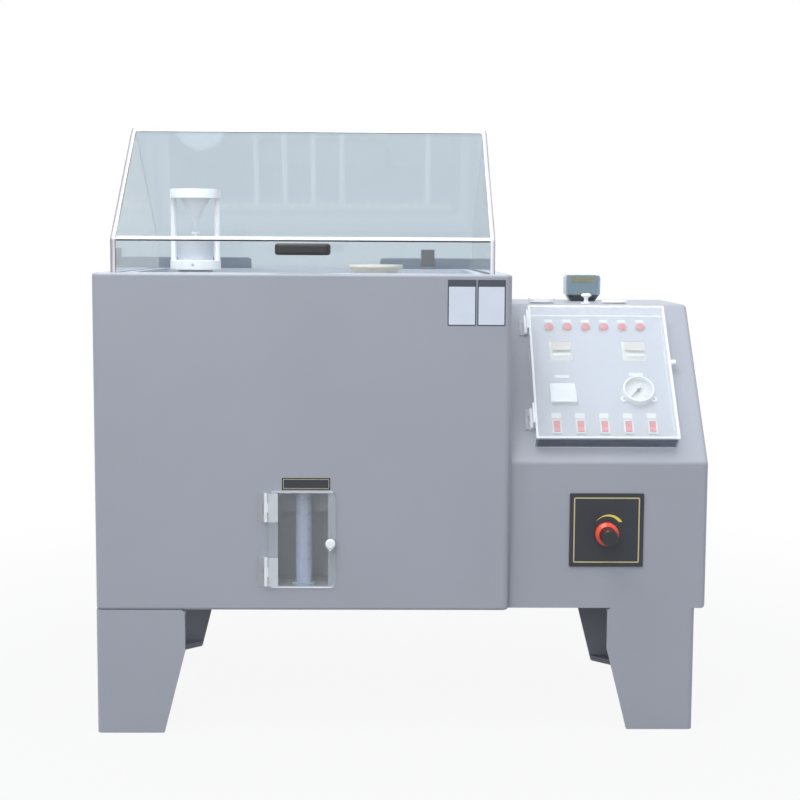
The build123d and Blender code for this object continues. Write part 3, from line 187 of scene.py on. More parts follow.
def pvc_sheet(name, light, dark, roughness):
    """Pressed PVC sheet: cloudy colour, satin gloss, fine press grain and faint long ripples."""
    material, tree, coords = begin_material(name)
    cloud = add_node(tree, "TexNoise", {"Vector": coords, "Scale": 5.0, "Detail": 4.0})
    speck = add_node(tree, "TexNoise", {"Vector": coords, "Scale": 700.0, "Detail": 2.0})
    mottle = add_node(tree, "MixRGB", {
        "Fac": 0.35, "Color1": cloud.outputs["Fac"], "Color2": speck.outputs["Fac"],
    })
    band = add_node(tree, "ValToRGB", {"Fac": mottle.outputs[0]})
    band.color_ramp.elements[0].position = 0.32
    band.color_ramp.elements[0].color = tint(dark)
    band.color_ramp.elements[1].position = 0.68
    band.color_ramp.elements[1].color = tint(light)
    gloss = add_node(tree, "MapRange", {
        "Value": cloud.outputs["Fac"], "To Min": roughness - 0.05, "To Max": roughness + 0.07,
    })
    grain = add_node(tree, "TexNoise", {"Vector": coords, "Scale": 900.0, "Detail": 1.0})
    ripple = add_node(tree, "TexNoise", {"Vector": coords, "Scale": 9.0, "Detail": 1.0})
    fine = add_node(tree, "Bump", {
        "Strength": 0.35, "Distance": 0.0002, "Height": grain.outputs["Fac"],
    })
    slow = add_node(tree, "Bump", {
        "Strength": 0.25, "Distance": 0.002, "Height": ripple.outputs["Fac"],
        "Normal": fine.outputs[0],
    })
    shader = add_node(tree, "BsdfPrincipled", {
        "Base Color": band.outputs[0], "Roughness": gloss.outputs[0], "IOR": 1.53,
        "Normal": slow.outputs[0],
    })
    end_material(tree, shader.outputs[0])
    return material


grey_pvc = pvc_sheet("pressed_grey_pvc", "A2A6AF", "9DA1AA", 0.42)
dress(grey_pvc, "cabinet_shell", "cabinet_base", "control_shell", "front_left_leg",
      "rear_left_leg", "front_right_leg", "rear_right_leg")


# Weld beads. A PVC rod is melted into each inside corner with hot air, and leaves a rounded
# bead with fine even ripples across it, a little glossier than the sheet.
def choose(piece):
    """Makes one object the only selected and the active one."""
    bpy.ops.object.select_all(action="DESELECT")
    piece.select_set(True)
    bpy.context.view_layer.objects.active = piece


def pick(piece, kind, test):
    """In edit mode, selects the faces, edges or verts that pass a test, and nothing else."""
    mesh = bmesh.from_edit_mesh(piece.data)
    kinds = ("verts", "edges", "faces")
    bpy.context.tool_settings.mesh_select_mode = [kind == each for each in kinds]
    for group in (mesh.verts, mesh.edges, mesh.faces):
        for item in group:
            item.select = False
    for item in getattr(mesh, kind):
        if test(item):
            item.select_set(True)
    mesh.select_flush_mode()
    bmesh.update_edit_mesh(piece.data)


def settle(piece, place=(0.0, 0.0, 0.0), turn=(0.0, 0.0, 0.0)):
    """Moves a piece from the bench to its place on the machine, into its mesh."""
    piece.location = Vector(place) * mm
    piece.rotation_euler = turn
    choose(piece)
    bpy.ops.object.transform_apply(location=True, rotation=True, scale=True)
    return piece


def joined(name, pieces):
    """Joins pieces into one object with that name."""
    bpy.ops.object.select_all(action="DESELECT")
    for piece in pieces:
        piece.select_set(True)
    bpy.context.view_layer.objects.active = pieces[0]
    bpy.ops.object.join()
    pieces[0].name = name
    pieces[0].data.name = name
    return pieces[0]


def painted(piece, finish):
    """Gives a made piece its material."""
    piece.data.materials.clear()
    piece.data.materials.append(finish)
    return piece


weld_pvc, tree, coords = begin_material("hot_air_weld_bead_pvc")
ripple = add_node(tree, "TexNoise", {"Vector": coords, "Scale": 330.0, "Detail": 2.0})
shade = add_node(tree, "MixRGB", {
    "Fac": ripple.outputs["Fac"], "Color1": tint("949AA4"), "Color2": tint("ACB1BB"),
})
melt = add_node(tree, "Bump", {
    "Strength": 0.6, "Distance": 0.0008, "Height": ripple.outputs["Fac"],
})
shader = add_node(tree, "BsdfPrincipled", {
    "Base Color": shade.outputs[0], "Roughness": 0.32, "IOR": 1.53, "Normal": melt.outputs[0],
})
end_material(tree, shader.outputs[0])

bead_radius = 2.2


def weld_bead(start, end):
    """One bead between two points, with domed ends."""
    start, end = Vector(start), Vector(end)
    run = (end - start).length
    bpy.ops.object.select_all(action="DESELECT")
    bpy.ops.mesh.primitive_cylinder_add(vertices=12, radius=bead_radius * mm, depth=run * mm)
    bead = bpy.context.object
    bpy.ops.object.mode_set(mode="EDIT")
    pick(bead, "faces", lambda face: abs(face.normal.z) > 0.9)
    bpy.ops.mesh.inset(thickness=0.5 * bead_radius * mm, depth=0.4 * bead_radius * mm)
    bpy.ops.object.mode_set(mode="OBJECT")
    bpy.ops.object.shade_smooth()
    return settle(bead, (start + end) / 2, (end - start).to_track_quat("Z", "Y").to_euler())


slope_run, slope_rise = 228.0, 268.0
slope_angle = math.atan2(slope_rise, slope_run)
seam_x, seam_front, seam_back, seam_top = 186.0, -278.5, 190.5, 747.5
beads = [
    weld_bead((seam_x, seam_front, 224.0), (seam_x, seam_front, seam_top - slope_rise - 1.5)),
    weld_bead((seam_x, seam_front, seam_top - slope_rise),
              (seam_x, seam_front + slope_run, seam_top)),
    weld_bead((seam_x, -49.0, seam_top), (seam_x, 188.0, seam_top)),
    weld_bead((seam_x, seam_back, 224.0), (seam_x, seam_back, 745.0)),
]
leg_sheet, leg_plate_width, leg_foot, leg_head = 10.5, 140.0, 18.0, 219.0
for outer_x, outer_y, inward, back in [
    (-535.0, -300.0, 1.0, 1.0), (-535.0, 300.0, 1.0, -1.0),
    (517.0, -278.0, -1.0, 1.0), (517.0, 190.0, -1.0, -1.0),
]:
    x, y = outer_x + leg_sheet * inward, outer_y + leg_sheet * back
    corner = (x, y, leg_head)
    beads.append(weld_bead(corner, (x + leg_plate_width * inward, y, leg_head)))
    beads.append(weld_bead(corner, (x, y + leg_plate_width * back, leg_head)))
    beads.append(weld_bead((x, y, leg_foot), (x, y, leg_head - 1.0)))
welds = painted(joined("weld_beads", beads), weld_pvc)
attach(welds, "cabinet")


# Back panels. Folded PVC covers screwed over the service openings with pan-head screws,
# and the exhaust and drain pipes that pass the back wall through flanges.
panel_pvc = pvc_sheet("satin_grey_pvc_cover", "9CA1AB", "979CA6", 0.5)
dress(panel_pvc, "rear_service_panel", "control_rear_cover", "rear_pipe_stubs")


def turned(name, sides, profile):
    """A turned piece about the z axis: a cylinder whose top is drawn up and sized in steps."""
    (radius, z), (next_radius, next_z) = profile[:2]
    bpy.ops.object.select_all(action="DESELECT")
    bpy.ops.mesh.primitive_cylinder_add(
        vertices=sides, radius=radius * mm, depth=(next_z - z) * mm,
        location=(0.0, 0.0, (z + next_z) / 2 * mm),
    )
    piece = bpy.context.object
    piece.name = name
    piece.data.name = name
    bpy.ops.object.transform_apply(location=True, rotation=True, scale=True)
    bpy.ops.object.mode_set(mode="EDIT")
    pick(piece, "faces", lambda face: face.normal.z > 0.9)
    share = next_radius / radius
    bpy.ops.transform.resize(value=(share, share, 1.0), center_override=(0.0, 0.0, next_z * mm))
    for wide, high in profile[2:]:
        bpy.ops.mesh.extrude_region_move(
            TRANSFORM_OT_translate={"value": (0.0, 0.0, (high - next_z) * mm)}
        )
        share = wide / next_radius
        bpy.ops.transform.resize(value=(share, share, 1.0), center_override=(0.0, 0.0, high * mm))
        next_radius, next_z = wide, high
    bpy.ops.mesh.select_all(action="SELECT")
    bpy.ops.mesh.normals_make_consistent(inside=False)
    bpy.ops.object.mode_set(mode="OBJECT")
    bpy.ops.object.shade_smooth_by_angle(angle=math.radians(35.0))
    return piece


def bar(name, low, high, round_off=0.0):
    """A bar between two corners, with its edges rounded."""
    low, high = Vector(low), Vector(high)
    bpy.ops.object.select_all(action="DESELECT")
    bpy.ops.mesh.primitive_cube_add(size=1.0, location=(low + high) / 2 * mm)
    piece = bpy.context.object
    piece.name = name
    piece.data.name = name
    piece.scale = (high - low) * mm
    bpy.ops.object.transform_apply(location=True, rotation=True, scale=True)
    if round_off:
        bpy.ops.object.mode_set(mode="EDIT")
        bpy.ops.mesh.select_all(action="SELECT")
        bpy.ops.mesh.bevel(offset=round_off * mm, segments=2, affect="EDGES")
        bpy.ops.object.mode_set(mode="OBJECT")
        bpy.ops.object.shade_smooth_by_angle(angle=math.radians(35.0))
    return piece


def carve(piece, cutter):
    """Cuts one piece out of another."""
    cut = piece.modifiers.new("cut", "BOOLEAN")
    cut.object = cutter
    cut.solver = "EXACT"
    choose(piece)
    bpy.ops.object.modifier_apply(modifier="cut")
    bpy.data.objects.remove(cutter)
    bpy.ops.object.shade_smooth_by_angle(angle=math.radians(35.0))
    return piece


def copies(name, source, places, turn):
    """Copies a piece to each place, turned alike, joins the copies and drops the pattern."""
    made = []
    for place in places:
        copy = source.copy()
        copy.data = source.data.copy()
        bpy.context.scene.collection.objects.link(copy)
        made.append(settle(copy, place, turn))
    bpy.data.objects.remove(source)
    return joined(name, made)


def brushed_metal(name, light, dark, roughness, scale):
    """Bare metal with fine turning marks."""
    material, tree, coords = begin_material(name)
    marks = add_node(tree, "TexNoise", {"Vector": coords, "Scale": scale, "Detail": 3.0})
    shade = add_node(tree, "MixRGB", {
        "Fac": marks.outputs["Fac"], "Color1": tint(dark), "Color2": tint(light),
    })
    rough = add_node(tree, "MapRange", {
        "Value": marks.outputs["Fac"], "To Min": roughness - 0.07, "To Max": roughness + 0.1,
    })
    dents = add_node(tree, "Bump", {
        "Strength": 0.15, "Distance": 0.0002, "Height": marks.outputs["Fac"],
    })
    shader = add_node(tree, "BsdfPrincipled", {
        "Base Color": shade.outputs[0], "Metallic": 1.0, "Roughness": rough.outputs[0],
        "Normal": dents.outputs[0],
    })
    end_material(tree, shader.outputs[0])
    return material


stainless = brushed_metal("machined_stainless_steel", "D2D3D6", "A9ABB0", 0.28, 1400.0)
pan_head = turned("pan_head", 20, [(3.6, 0.0), (3.6, 0.8), (3.1, 1.7), (2.2, 2.3), (0.8, 2.5)])
for half_x, half_y in [(2.1, 0.4), (0.4, 2.1)]:
    carve(pan_head, bar("slot_cutter", (-half_x, -half_y, 1.5), (half_x, half_y, 3.0)))
painted(pan_head, stainless)

quarter = math.pi / 2
panel_face, cover_face = 303.0, 193.0
screw_places = [
    (x, panel_face, z) for x in (-389.0, -282.0, -175.0, -68.0, 39.0) for z in (242.0, 380.0)
] + [
    (x, panel_face, 311.0) for x in (-389.0, 39.0)
] + [
    (x, cover_face, z) for x in (221.0, 360.0, 499.0) for z in (256.0, 664.0)
] + [
    (x, cover_face, z) for x in (221.0, 499.0) for z in (358.0, 460.0, 562.0)
]
back_screws = copies("back_panel_screws", pan_head, screw_places, (-quarter, 0.0, 0.0))
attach(back_screws, "cabinet")


# Tank. The same sheet, welded into an open box whose flange carries the water seal groove.
# The heater is a titanium tube on its floor.
tank_pvc = pvc_sheet("smooth_grey_tank_pvc", "BCC1CB", "B5BAC4", 0.38)
dress(tank_pvc, "inner_tank", "spray_pipe")
titanium = brushed_metal("drawn_titanium_tube", "9A958F", "77726D", 0.34, 900.0)
dress(titanium, "tank_heater")


# Specimen rack and fog collection. Notched rails and a funnel of natural polypropylene, which
# is milky and waxy, and rods and pipes of white PVC.
def moulded_plastic(name, light, dark, roughness, milk=0.0, index=1.5):
    """Moulded plastic: faint clouds, a satin skin, and light let in by the share of milk."""
    material, tree, coords = begin_material(name)
    cloud = add_node(tree, "TexNoise", {"Vector": coords, "Scale": 45.0, "Detail": 4.0})
    shade = add_node(tree, "MixRGB", {
        "Fac": cloud.outputs["Fac"], "Color1": tint(dark), "Color2": tint(light),
    })
    gloss = add_node(tree, "MapRange", {
        "Value": cloud.outputs["Fac"],
        "To Min": max(roughness - 0.06, 0.02), "To Max": roughness + 0.08,
    })
    skin = add_node(tree, "TexNoise", {"Vector": coords, "Scale": 420.0, "Detail": 2.0})
    bump = add_node(tree, "Bump", {
        "Strength": 0.12, "Distance": 0.0003, "Height": skin.outputs["Fac"],
    })
    shader = add_node(tree, "BsdfPrincipled", {
        "Base Color": shade.outputs[0], "Roughness": gloss.outputs[0], "IOR": index,
        "Transmission Weight": milk, "Normal": bump.outputs[0],
    })
    end_material(tree, shader.outputs[0])
    return material


natural_pp = moulded_plastic("natural_polypropylene", "E9E6DC", "DEDACD", 0.38)
white_pvc = moulded_plastic("turned_white_pvc", "F6F8FA", "EEF1F4", 0.3)
dress(natural_pp, "rack_rails", "collecting_funnel")
dress(white_pvc, "specimen_rods", "collector_pipe", "drip_spout")


# Spray tower. Turned and milled white PVC: a collar on the pipe, two posts, and a cap whose
# cone spreads the fog. A stainless grub screw clamps the collar.
dress(white_pvc, "tower_collar", "tower_posts", "tower_cap", "spray_nozzle")
dress(stainless, "tower_set_screw")


# Lid. Cast acrylic sheet, 8 mm thick, cemented at its edges, with a black moulded handle. The
# sawn edges are polished but stay milky, and the rear sheets have a blue-grey tint. Over the milk
# of the sawn edges lie bands of painted shade and painted highlight, and the ridge and the fold
# are milky white painted highlight lines.
def let_light_in(tree, shader, passed):
    """Ends a clear material. It passes this much of the lamps' light to what lies behind it."""
    path = add_node(tree, "LightPath")
    bare = add_node(tree, "BsdfTransparent", {"Color": [passed, passed, passed, 1.0]})
    either_way = add_node(tree, "MixShader", {
        0: path.outputs["Is Shadow Ray"], 1: shader, 2: bare.outputs[0],
    })
    end_material(tree, either_way.outputs[0])


def acrylic(name, colour, haze, roughness=0.02, passed=0.9):
    """Cast acrylic: clear or hazed by fine scratches, with faint smears in its polish."""
    material, tree, coords = begin_material(name)
    smear = add_node(tree, "TexNoise", {"Vector": coords, "Scale": 14.0, "Detail": 5.0})
    polish = add_node(tree, "MapRange", {
        "Value": smear.outputs["Fac"], "From Min": 0.35, "From Max": 0.75,
        "To Min": roughness, "To Max": roughness + 0.035,
    })
    shader = add_node(tree, "BsdfPrincipled", {
        "Base Color": tint(colour), "Roughness": polish.outputs[0], "IOR": 1.49,
        "Transmission Weight": 1.0 - haze,
    })
    let_light_in(tree, shader.outputs[0], passed)
    return material, tree, coords, shader


def apart(tree, value, place):
    """How far a value lies from a place, either way."""
    offset = add_node(tree, "Math", {0: value, 1: place}, operation="SUBTRACT")
    return add_node(tree, "Math", {0: offset.outputs[0]}, operation="ABSOLUTE").outputs[0]


def milky_edges(tree, shader, mask, clear=None, milk=tint("F4F7FA"), cloud=0.7):
    """Turns acrylic milky where mask is 1. Elsewhere it stays as made, or has the clear colour."""
    base, passing = shader.inputs["Base Color"], shader.inputs["Transmission Weight"]
    colour = add_node(tree, "MixRGB", {
        "Fac": mask, "Color1": clear or list(base.default_value), "Color2": milk,
    })
    tree.links.new(colour.outputs[0], base)
    share = add_node(tree, "MapRange", {
        "Value": mask, "To Min": passing.default_value, "To Max": 1.0 - cloud,
    })
    tree.links.new(share.outputs[0], passing)


lid_low, lid_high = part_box("lid_shell")
lid_sheet, lid_bend = 8.0, 864.3
lid_material, tree, coords, shader = acrylic("cast_lid_acrylic", "FFFFFF", 0.0, passed=0.97)
axes = add_node(tree, "SeparateXYZ", {0: coords})
rearward = add_node(tree, "MapRange", {
    "Value": axes.outputs["Y"], "From Min": -0.022, "From Max": -0.010,
})
sheet_colour = add_node(tree, "MixRGB", {
    "Fac": rearward.outputs[0], "Color1": tint("F8FBFC"), "Color2": tint("C0CDD7"),
})
depth = add_node(tree, "Math", {
    0: (lid_high.x - lid_low.x) / 2,
    1: apart(tree, axes.outputs["X"], (lid_low.x + lid_high.x) / 2),
}, operation="SUBTRACT").outputs[0]
gable = step(tree, depth, (lid_sheet + 0.1) * mm, above=False)
sheet_colour = add_node(tree, "MixRGB", {
    "Fac": gable, "Color1": sheet_colour.outputs[0], "Color2": tint("DDE5EA"),
})
sawn = both(tree, step(tree, depth, (lid_sheet - 0.1) * mm, above=False),
            step(tree, depth, 0.2 * mm))
# The ridge and the fold are turned milky white: painted highlight lines.
ridge_painted_highlight = step(tree, axes.outputs["Z"], lid_high.z - 6.0 * mm)
fold_painted_highlight = step(tree, apart(tree, axes.outputs["Z"], lid_bend * mm), 1.3 * mm, above=False)
# Bands across the sawn edges' thickness: dark grey by the outer face as painted shade, white
# inward as painted highlight.
edge_painted_shade_and_highlight = add_node(tree, "ValToRGB", {
    "Fac": add_node(tree, "MapRange", {"Value": depth, "From Max": lid_sheet * mm}).outputs[0],
})
edge_painted_shade_and_highlight.color_ramp.elements[0].color = tint("8F8D96")
edge_painted_shade_and_highlight.color_ramp.elements[1].color = tint("FFFFFF")
for place, code in [(0.16, "9C9AA2"), (0.30, "D2D2D8"), (0.52, "DCDCE2"), (0.62, "FBFBFF")]:
    edge_painted_shade_and_highlight.color_ramp.elements.new(place).color = tint(code)
# White on the ridge and the fold as painted highlight, and the banded painted shade and highlight
# on the sawn edges.
milk = add_node(tree, "MixRGB", {
    "Fac": sawn, "Color1": tint("FAFBFD"), "Color2": edge_painted_shade_and_highlight.outputs[0],
})
milky_edges(tree, shader, either(tree, sawn, either(tree, ridge_painted_highlight, fold_painted_highlight)),
            sheet_colour.outputs[0], milk.outputs[0])
dress(lid_material, "lid_shell")

black_abs = moulded_plastic("moulded_black_abs", "222327", "1C1D20", 0.36, index=1.54)
dress(black_abs, "lid_handle")


# Lid hinges. Milled PVC carriers welded on the rear rim, lugs cemented on the lid, and
# stainless pins.
dress(grey_pvc, "lid_hinge_carriers", "lid_hinge_lugs")
dress(stainless, "hinge_pins")


# Measuring window. A grey niche behind a hole in the front holds a moulded measuring cylinder,
# and a thin clear door on cemented acrylic hinges closes it.
niche_pvc = pvc_sheet("grey_niche_pvc", "A2A6AE", "9A9EA6", 0.5)
dress(niche_pvc, "measuring_niche")
cylinder_pp = moulded_plastic("clear_moulded_polypropylene", "D4E2F4", "C6D8EE", 0.16, milk=0.35)
dress(cylinder_pp, "measuring_cylinder")

door_low, door_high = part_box("window_door")
door_material, tree, coords, shader = acrylic("clear_door_acrylic", "F2F5F7", 0.03)
axes = add_node(tree, "SeparateXYZ", {0: coords})
ends = either(tree, step(tree, axes.outputs["Z"], door_high.z - 1.2 * mm),
              step(tree, axes.outputs["Z"], door_low.z + 1.6 * mm, above=False))
milky_edges(tree, shader, ends, cloud=0.6)
dress(door_material, "window_door")

window_pin, cover_pin, knuckle_radius = -238.1, 228.0, 3.7


def hinge_acrylic(name, pin_places, haze=0.3):
    """Clear hinge acrylic that drilling left milky round the pins, which lie at places in x."""
    material, tree, coords, shader = acrylic(name, "F4F7FA", haze, 0.05)
    axes = add_node(tree, "SeparateXYZ", {0: coords})
    knuckles = 0.0
    for place in pin_places:
        off = apart(tree, axes.outputs["X"], place * mm)
        knuckles = either(tree, knuckles, step(tree, off, knuckle_radius * mm, above=False))
    milky_edges(tree, shader, knuckles, cloud=0.75)
    return material


dress(hinge_acrylic("clear_hinge_acrylic", [window_pin]), "window_door_leaves")
dress(hinge_acrylic("clear_fixed_hinge_acrylic", [window_pin, cover_pin]), "fixed_hinge_leaves")
dress(white_pvc, "window_knob")


# Control cabinet fittings. A black nylon gland and a brass hose barb on the back cover, the
# regulator body and the saturator barrel inside.
dress(black_abs, "cable_gland", "air_regulator")
brass = brushed_metal("turned_brass", "C9A861", "9C7C3E", 0.3, 1200.0)
dress(brass, "air_inlet")
dress(stainless, "saturator_barrel")


# Pilot lamps. A chromed bezel round a ribbed red lens, six in a row at the top of the slope.
slope_place = Vector((185.0, -278.0, 479.0))
slope_across = Vector((1.0, 0.0, 0.0))
slope_along = Vector((0.0, math.cos(slope_angle), math.sin(slope_angle)))
slope_away = Vector((0.0, -math.sin(slope_angle), math.cos(slope_angle)))
slope_turn = (slope_angle, 0.0, 0.0)


def on_slope(x, up, out=0.0):
    """A point on the sloping face: millimetres from its left side, up it, and out of it."""
    return slope_place + slope_across * x + slope_along * up + slope_away * out


chrome = brushed_metal("chromed_bezel", "E8EAEE", "C9CCD2", 0.16, 300.0)
bezel = turned("bezel", 40, [(10.5, 0.0), (10.5, 1.5), (9.7, 2.6), (8.7, 2.6), (8.3, 1.4)])
lamp_columns, lamp_up = [87.0 + 34.0 * i for i in range(6)], 294.0
lamp_places = [on_slope(x, lamp_up) for x in lamp_columns]
bezels = copies("lamp_bezels", painted(bezel, chrome), lamp_places, slope_turn)
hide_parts("pilot_lamps")
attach(bezels, "cabinet")

red_lens = moulded_plastic("ribbed_red_polycarbonate_lens", "D8382F", "B8241D", 0.12,
                           milk=0.3, index=1.58)
dome_cap = turned("lens", 40, [(8.2, 0.6), (8.2, 3.2), (7.4, 5.0), (5.2, 6.1), (2.4, 6.5)])
lenses = copies("lamp_lenses", painted(dome_cap, red_lens), lamp_places, slope_turn)
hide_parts("pilot_lamps")
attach(lenses, "cabinet")


# Meters. Two square temperature controllers moulded in ivory plastic, each with a sunk display
# window over four keys, and a larger white timer with two grooves over a flap.
def card(name, wide, high, thick, corner, low=0.0):
    """A flat card that lies in x and y on z = low, with rounded corners."""
    piece = bar(name, (-wide / 2, -high / 2, low), (wide / 2, high / 2, low + thick))
    bpy.ops.object.mode_set(mode="EDIT")
    upright = 0.5 * thick * mm
    pick(piece, "edges", lambda edge: abs(edge.verts[0].co.z - edge.verts[1].co.z) > upright)
    bpy.ops.mesh.bevel(offset=corner * mm, segments=4, affect="EDGES")
    bpy.ops.object.mode_set(mode="OBJECT")
    return piece


ivory_plastic = moulded_plastic("ivory_moulded_plastic", "CCC9C0", "C3BFB5", 0.34)
white_plastic = moulded_plastic("white_moulded_plastic", "DCDDE0", "D3D5D8", 0.3)
display_plastic = moulded_plastic("tinted_display_window", "BDB6AC", "B2ABA0", 0.12)


front_rise, field_rise, case_depth = 7.0, 6.3, 60.0


def instrument_front(name, wide, long, case, finish):
    """The housing of a panel instrument: a framed front and the case behind the panel."""
    front = card(name, wide, long, front_rise, 2.0)
    bpy.ops.object.mode_set(mode="EDIT")
    pick(front, "faces", lambda face: face.normal.z > 0.9)
    bpy.ops.mesh.inset(thickness=1.0 * mm, depth=0.0)
    bpy.ops.mesh.inset(thickness=1.2 * mm, depth=(field_rise - front_rise) * mm)
    bpy.ops.object.mode_set(mode="OBJECT")
    back = bar("case", (-case / 2, -case / 2, -case_depth), (case / 2, case / 2, 0.0), 0.6)
    return painted(joined(name, [front, back]), finish)


def meter(name, across):
    """A temperature controller with a display window and four keys."""
    body = instrument_front(name, 47.0, 47.0, 43.0, ivory_plastic)
    carve(body, bar("window_cutter", (-17.5, -2.0, 5.4), (17.5, 16.8, 8.0)))
    window = painted(card("display", 34.6, 18.4, 0.4, 0.8, 5.4), display_plastic)
    settle(window, (0.0, 7.4, 0.0))
    keys = [
        settle(painted(card("key", 6.4, 4.2, 0.9, 1.0, 6.0), white_plastic),
               (-12.6 + 8.4 * i, -12.5, 0.0))
        for i in range(4)
    ]
    return settle(joined(name, [body, window] + keys), on_slope(across, meter_up), slope_turn)


meter_up, left_meter_across, right_meter_across = 241.0, 106.0, 240.0
timer_across, timer_up = 104.0, 146.0
timer = instrument_front("timer", 54.0, 60.0, 46.0, white_plastic)
for groove_up in (9.0, 18.0):
    carve(timer, bar("groove_cutter", (-23.5, groove_up - 0.7, 5.5), (23.5, groove_up + 0.7, 8.0)))
timer_flap = painted(card("flap", 46.0, 27.0, 0.8, 1.5, 6.2), white_plastic)
settle(timer_flap, (0.0, -9.5, 0.0))
timer = settle(joined("timer", [timer, timer_flap]), on_slope(timer_across, timer_up), slope_turn)
for piece in (meter("left_meter", left_meter_across), meter("right_meter", right_meter_across),
              timer):
    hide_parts("panel_meters")
    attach(piece, "cabinet")


# Name plates on the slope. Thin engraved-stock cards glued above each instrument, here bare.
label_stock = moulded_plastic("pale_engraving_laminate", "CFD2CD", "C7CAC4", 0.42)
gauge_across, gauge_up = 239.0, 148.0
labels = []
for across, up, wide, high in [
    (88.0 + 42.6 * i, 97.5, 17.0, 11.0) for i in range(5)
] + [
    (timer_across, timer_up + 37.0, 26.0, 6.0), (gauge_across, gauge_up + 40.5, 26.0, 6.0)
] + [
    (x, lamp_up + 16.0, 15.0, 6.0) for x in lamp_columns
]:
    labels.append(settle(card("label", wide, high, 0.5, 0.8), on_slope(across, up), slope_turn))
slope_labels = painted(joined("slope_labels", labels), label_stock)
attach(slope_labels, "cabinet")


# Gauge. A white enamelled case with three screwed ears, a printed dial with plain numbers
# under a glass, and a black needle.
enamel = moulded_plastic("white_stoved_enamel", "E2E4E8", "DADCE0", 0.22)
dress(enamel, "gauge_case")
gauge_pane = acrylic("gauge_window_glass", "FFFFFF", 0.0, 0.01)[0]
dress(gauge_pane, "gauge_glass")
black_enamel = moulded_plastic("black_needle_enamel", "26262A", "1E1E22", 0.3)
dress(black_enamel, "gauge_needle")
dial_card = moulded_plastic("printed_dial_card", "DEDFDF", "D6D7D7", 0.5)


def numeral(number, size, upright):
    """A plain raised number centred in width, with its height aligned as Blender names it."""
    bpy.ops.object.text_add()
    digits = bpy.context.object
    digits.data.body = str(number)
    digits.data.size = size * mm
    digits.data.align_x = "CENTER"
    digits.data.align_y = upright
    digits.data.extrude = 0.03 * mm
    choose(digits)
    bpy.ops.object.convert(target="MESH")
    return digits


dial = carve(turned("gauge_dial", 72, [(23.2, 4.05), (23.2, 4.3)]),
             turned("hub_cutter", 24, [(1.6, 3.0), (1.6, 5.0)]))
painted(dial, dial_card)
tick_tip, numeral_circle, dial_sweep, tick_count, numeral_count = 22.0, 14.8, 270.0, 50, 5
marks = []
for i in range(tick_count + 1):
    half_width, tick_foot = (0.28, 18.2) if i % 5 == 0 else (0.14, 19.8)
    mark = bar("tick", (-half_width, tick_foot, 4.28), (half_width, tick_tip, 4.36))
    turn = math.radians(dial_sweep / 2 - dial_sweep / tick_count * i)
    marks.append(settle(mark, turn=(0.0, 0.0, turn)))
for i in range(numeral_count + 1):
    angle = math.radians(90.0 + dial_sweep / 2 - dial_sweep / numeral_count * i)
    marks.append(settle(
        numeral(2 * i, 4.4, "CENTER"),
        (numeral_circle * math.cos(angle), numeral_circle * math.sin(angle), 4.33),
    ))
scale = painted(joined("gauge_scale", marks), black_enamel)
for piece, slot in ((dial, "white_plastic"), (scale, "black_plastic")):
    settle(piece, on_slope(gauge_across, gauge_up), slope_turn)
    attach(piece, "cabinet")

cheese_head = turned("cheese_head", 20, [(2.4, 0.0), (2.4, 1.4), (2.0, 1.9)])
carve(cheese_head, bar("slot_cutter", (-3.0, -0.35, 1.0), (3.0, 0.35, 3.0)))
painted(cheese_head, stainless)
ear_circle, ear_thickness = 31.0, 3.0
ear_places = [
    on_slope(gauge_across + ear_circle * math.cos(angle), gauge_up + ear_circle * math.sin(angle),
             ear_thickness)
    for angle in map(math.radians, (90.0, 210.0, 330.0))
]
ear_screws = copies("gauge_ear_screws", cheese_head, ear_places, slope_turn)
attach(ear_screws, "cabinet")


# Switches. Cream housings with a raised frame, and rockers of translucent red plastic.
dress(ivory_plastic, "switch_housings")
rocker_red = moulded_plastic("translucent_red_rocker_plastic", "E2606A", "CF4A55", 0.2, milk=0.15)
dress(rocker_red, "rocker_1", "rocker_2", "rocker_3", "rocker_4", "rocker_5")


# Clear cover. An acrylic box cemented from 4 mm sheet, cloudy with fine scratches, its sawn
# edges milky, and its foot wall coloured dark grey as painted shade. It swings on two acrylic
# hinges at its left side and opens by a turned knob.
def distance(tree, coords, start, direction):
    """How far the shaded point lies from a start along a direction."""
    offset = add_node(tree, "VectorMath", {0: coords, 1: start}, operation="SUBTRACT")
    return add_node(tree, "VectorMath", {0: offset.outputs["Vector"], 1: direction},
                    operation="DOT_PRODUCT").outputs["Value"]


cover_material, tree, coords, shader = acrylic("scuffed_cover_acrylic", "F3F7FA", 0.12, 0.04)
wall_left, wall_right, wall_foot, wall_head = 50.8, 295.2, 34.8, 321.2
roof_inside, lip_height = 26.2, 1.8
slope_start = slope_place * mm
across = distance(tree, coords, slope_start, slope_across)
up_slope = distance(tree, coords, slope_start, slope_along)
off_slope = distance(tree, coords, slope_start, slope_away)
side_walls = either(tree, step(tree, across, wall_left * mm, above=False),
                    step(tree, across, wall_right * mm))
end_walls = either(tree, step(tree, up_slope, wall_foot * mm, above=False),
                   step(tree, up_slope, wall_head * mm))
sawn_faces = either(tree, step(tree, off_slope, roof_inside * mm),
                    step(tree, off_slope, lip_height * mm, above=False))
# The foot wall is coloured dark grey: painted shade.
foot_wall_painted_shade = both(tree, step(tree, up_slope, (wall_foot + 0.4) * mm, above=False),
                 step(tree, off_slope, roof_inside * mm, above=False))
wall_colour_with_painted_shade = add_node(tree, "MixRGB", {
    "Fac": foot_wall_painted_shade, "Color1": tint("F3F7FA"), "Color2": tint("70747F"),
})
milky_edges(tree, shader, both(tree, either(tree, side_walls, end_walls), sawn_faces),
            wall_colour_with_painted_shade.outputs[0], cloud=0.6)
dress(cover_material, "control_cover")
dress(hinge_acrylic("clear_cover_hinge_acrylic", [cover_pin], 0.5), "cover_leaves")
dress(white_pvc, "cover_knob")


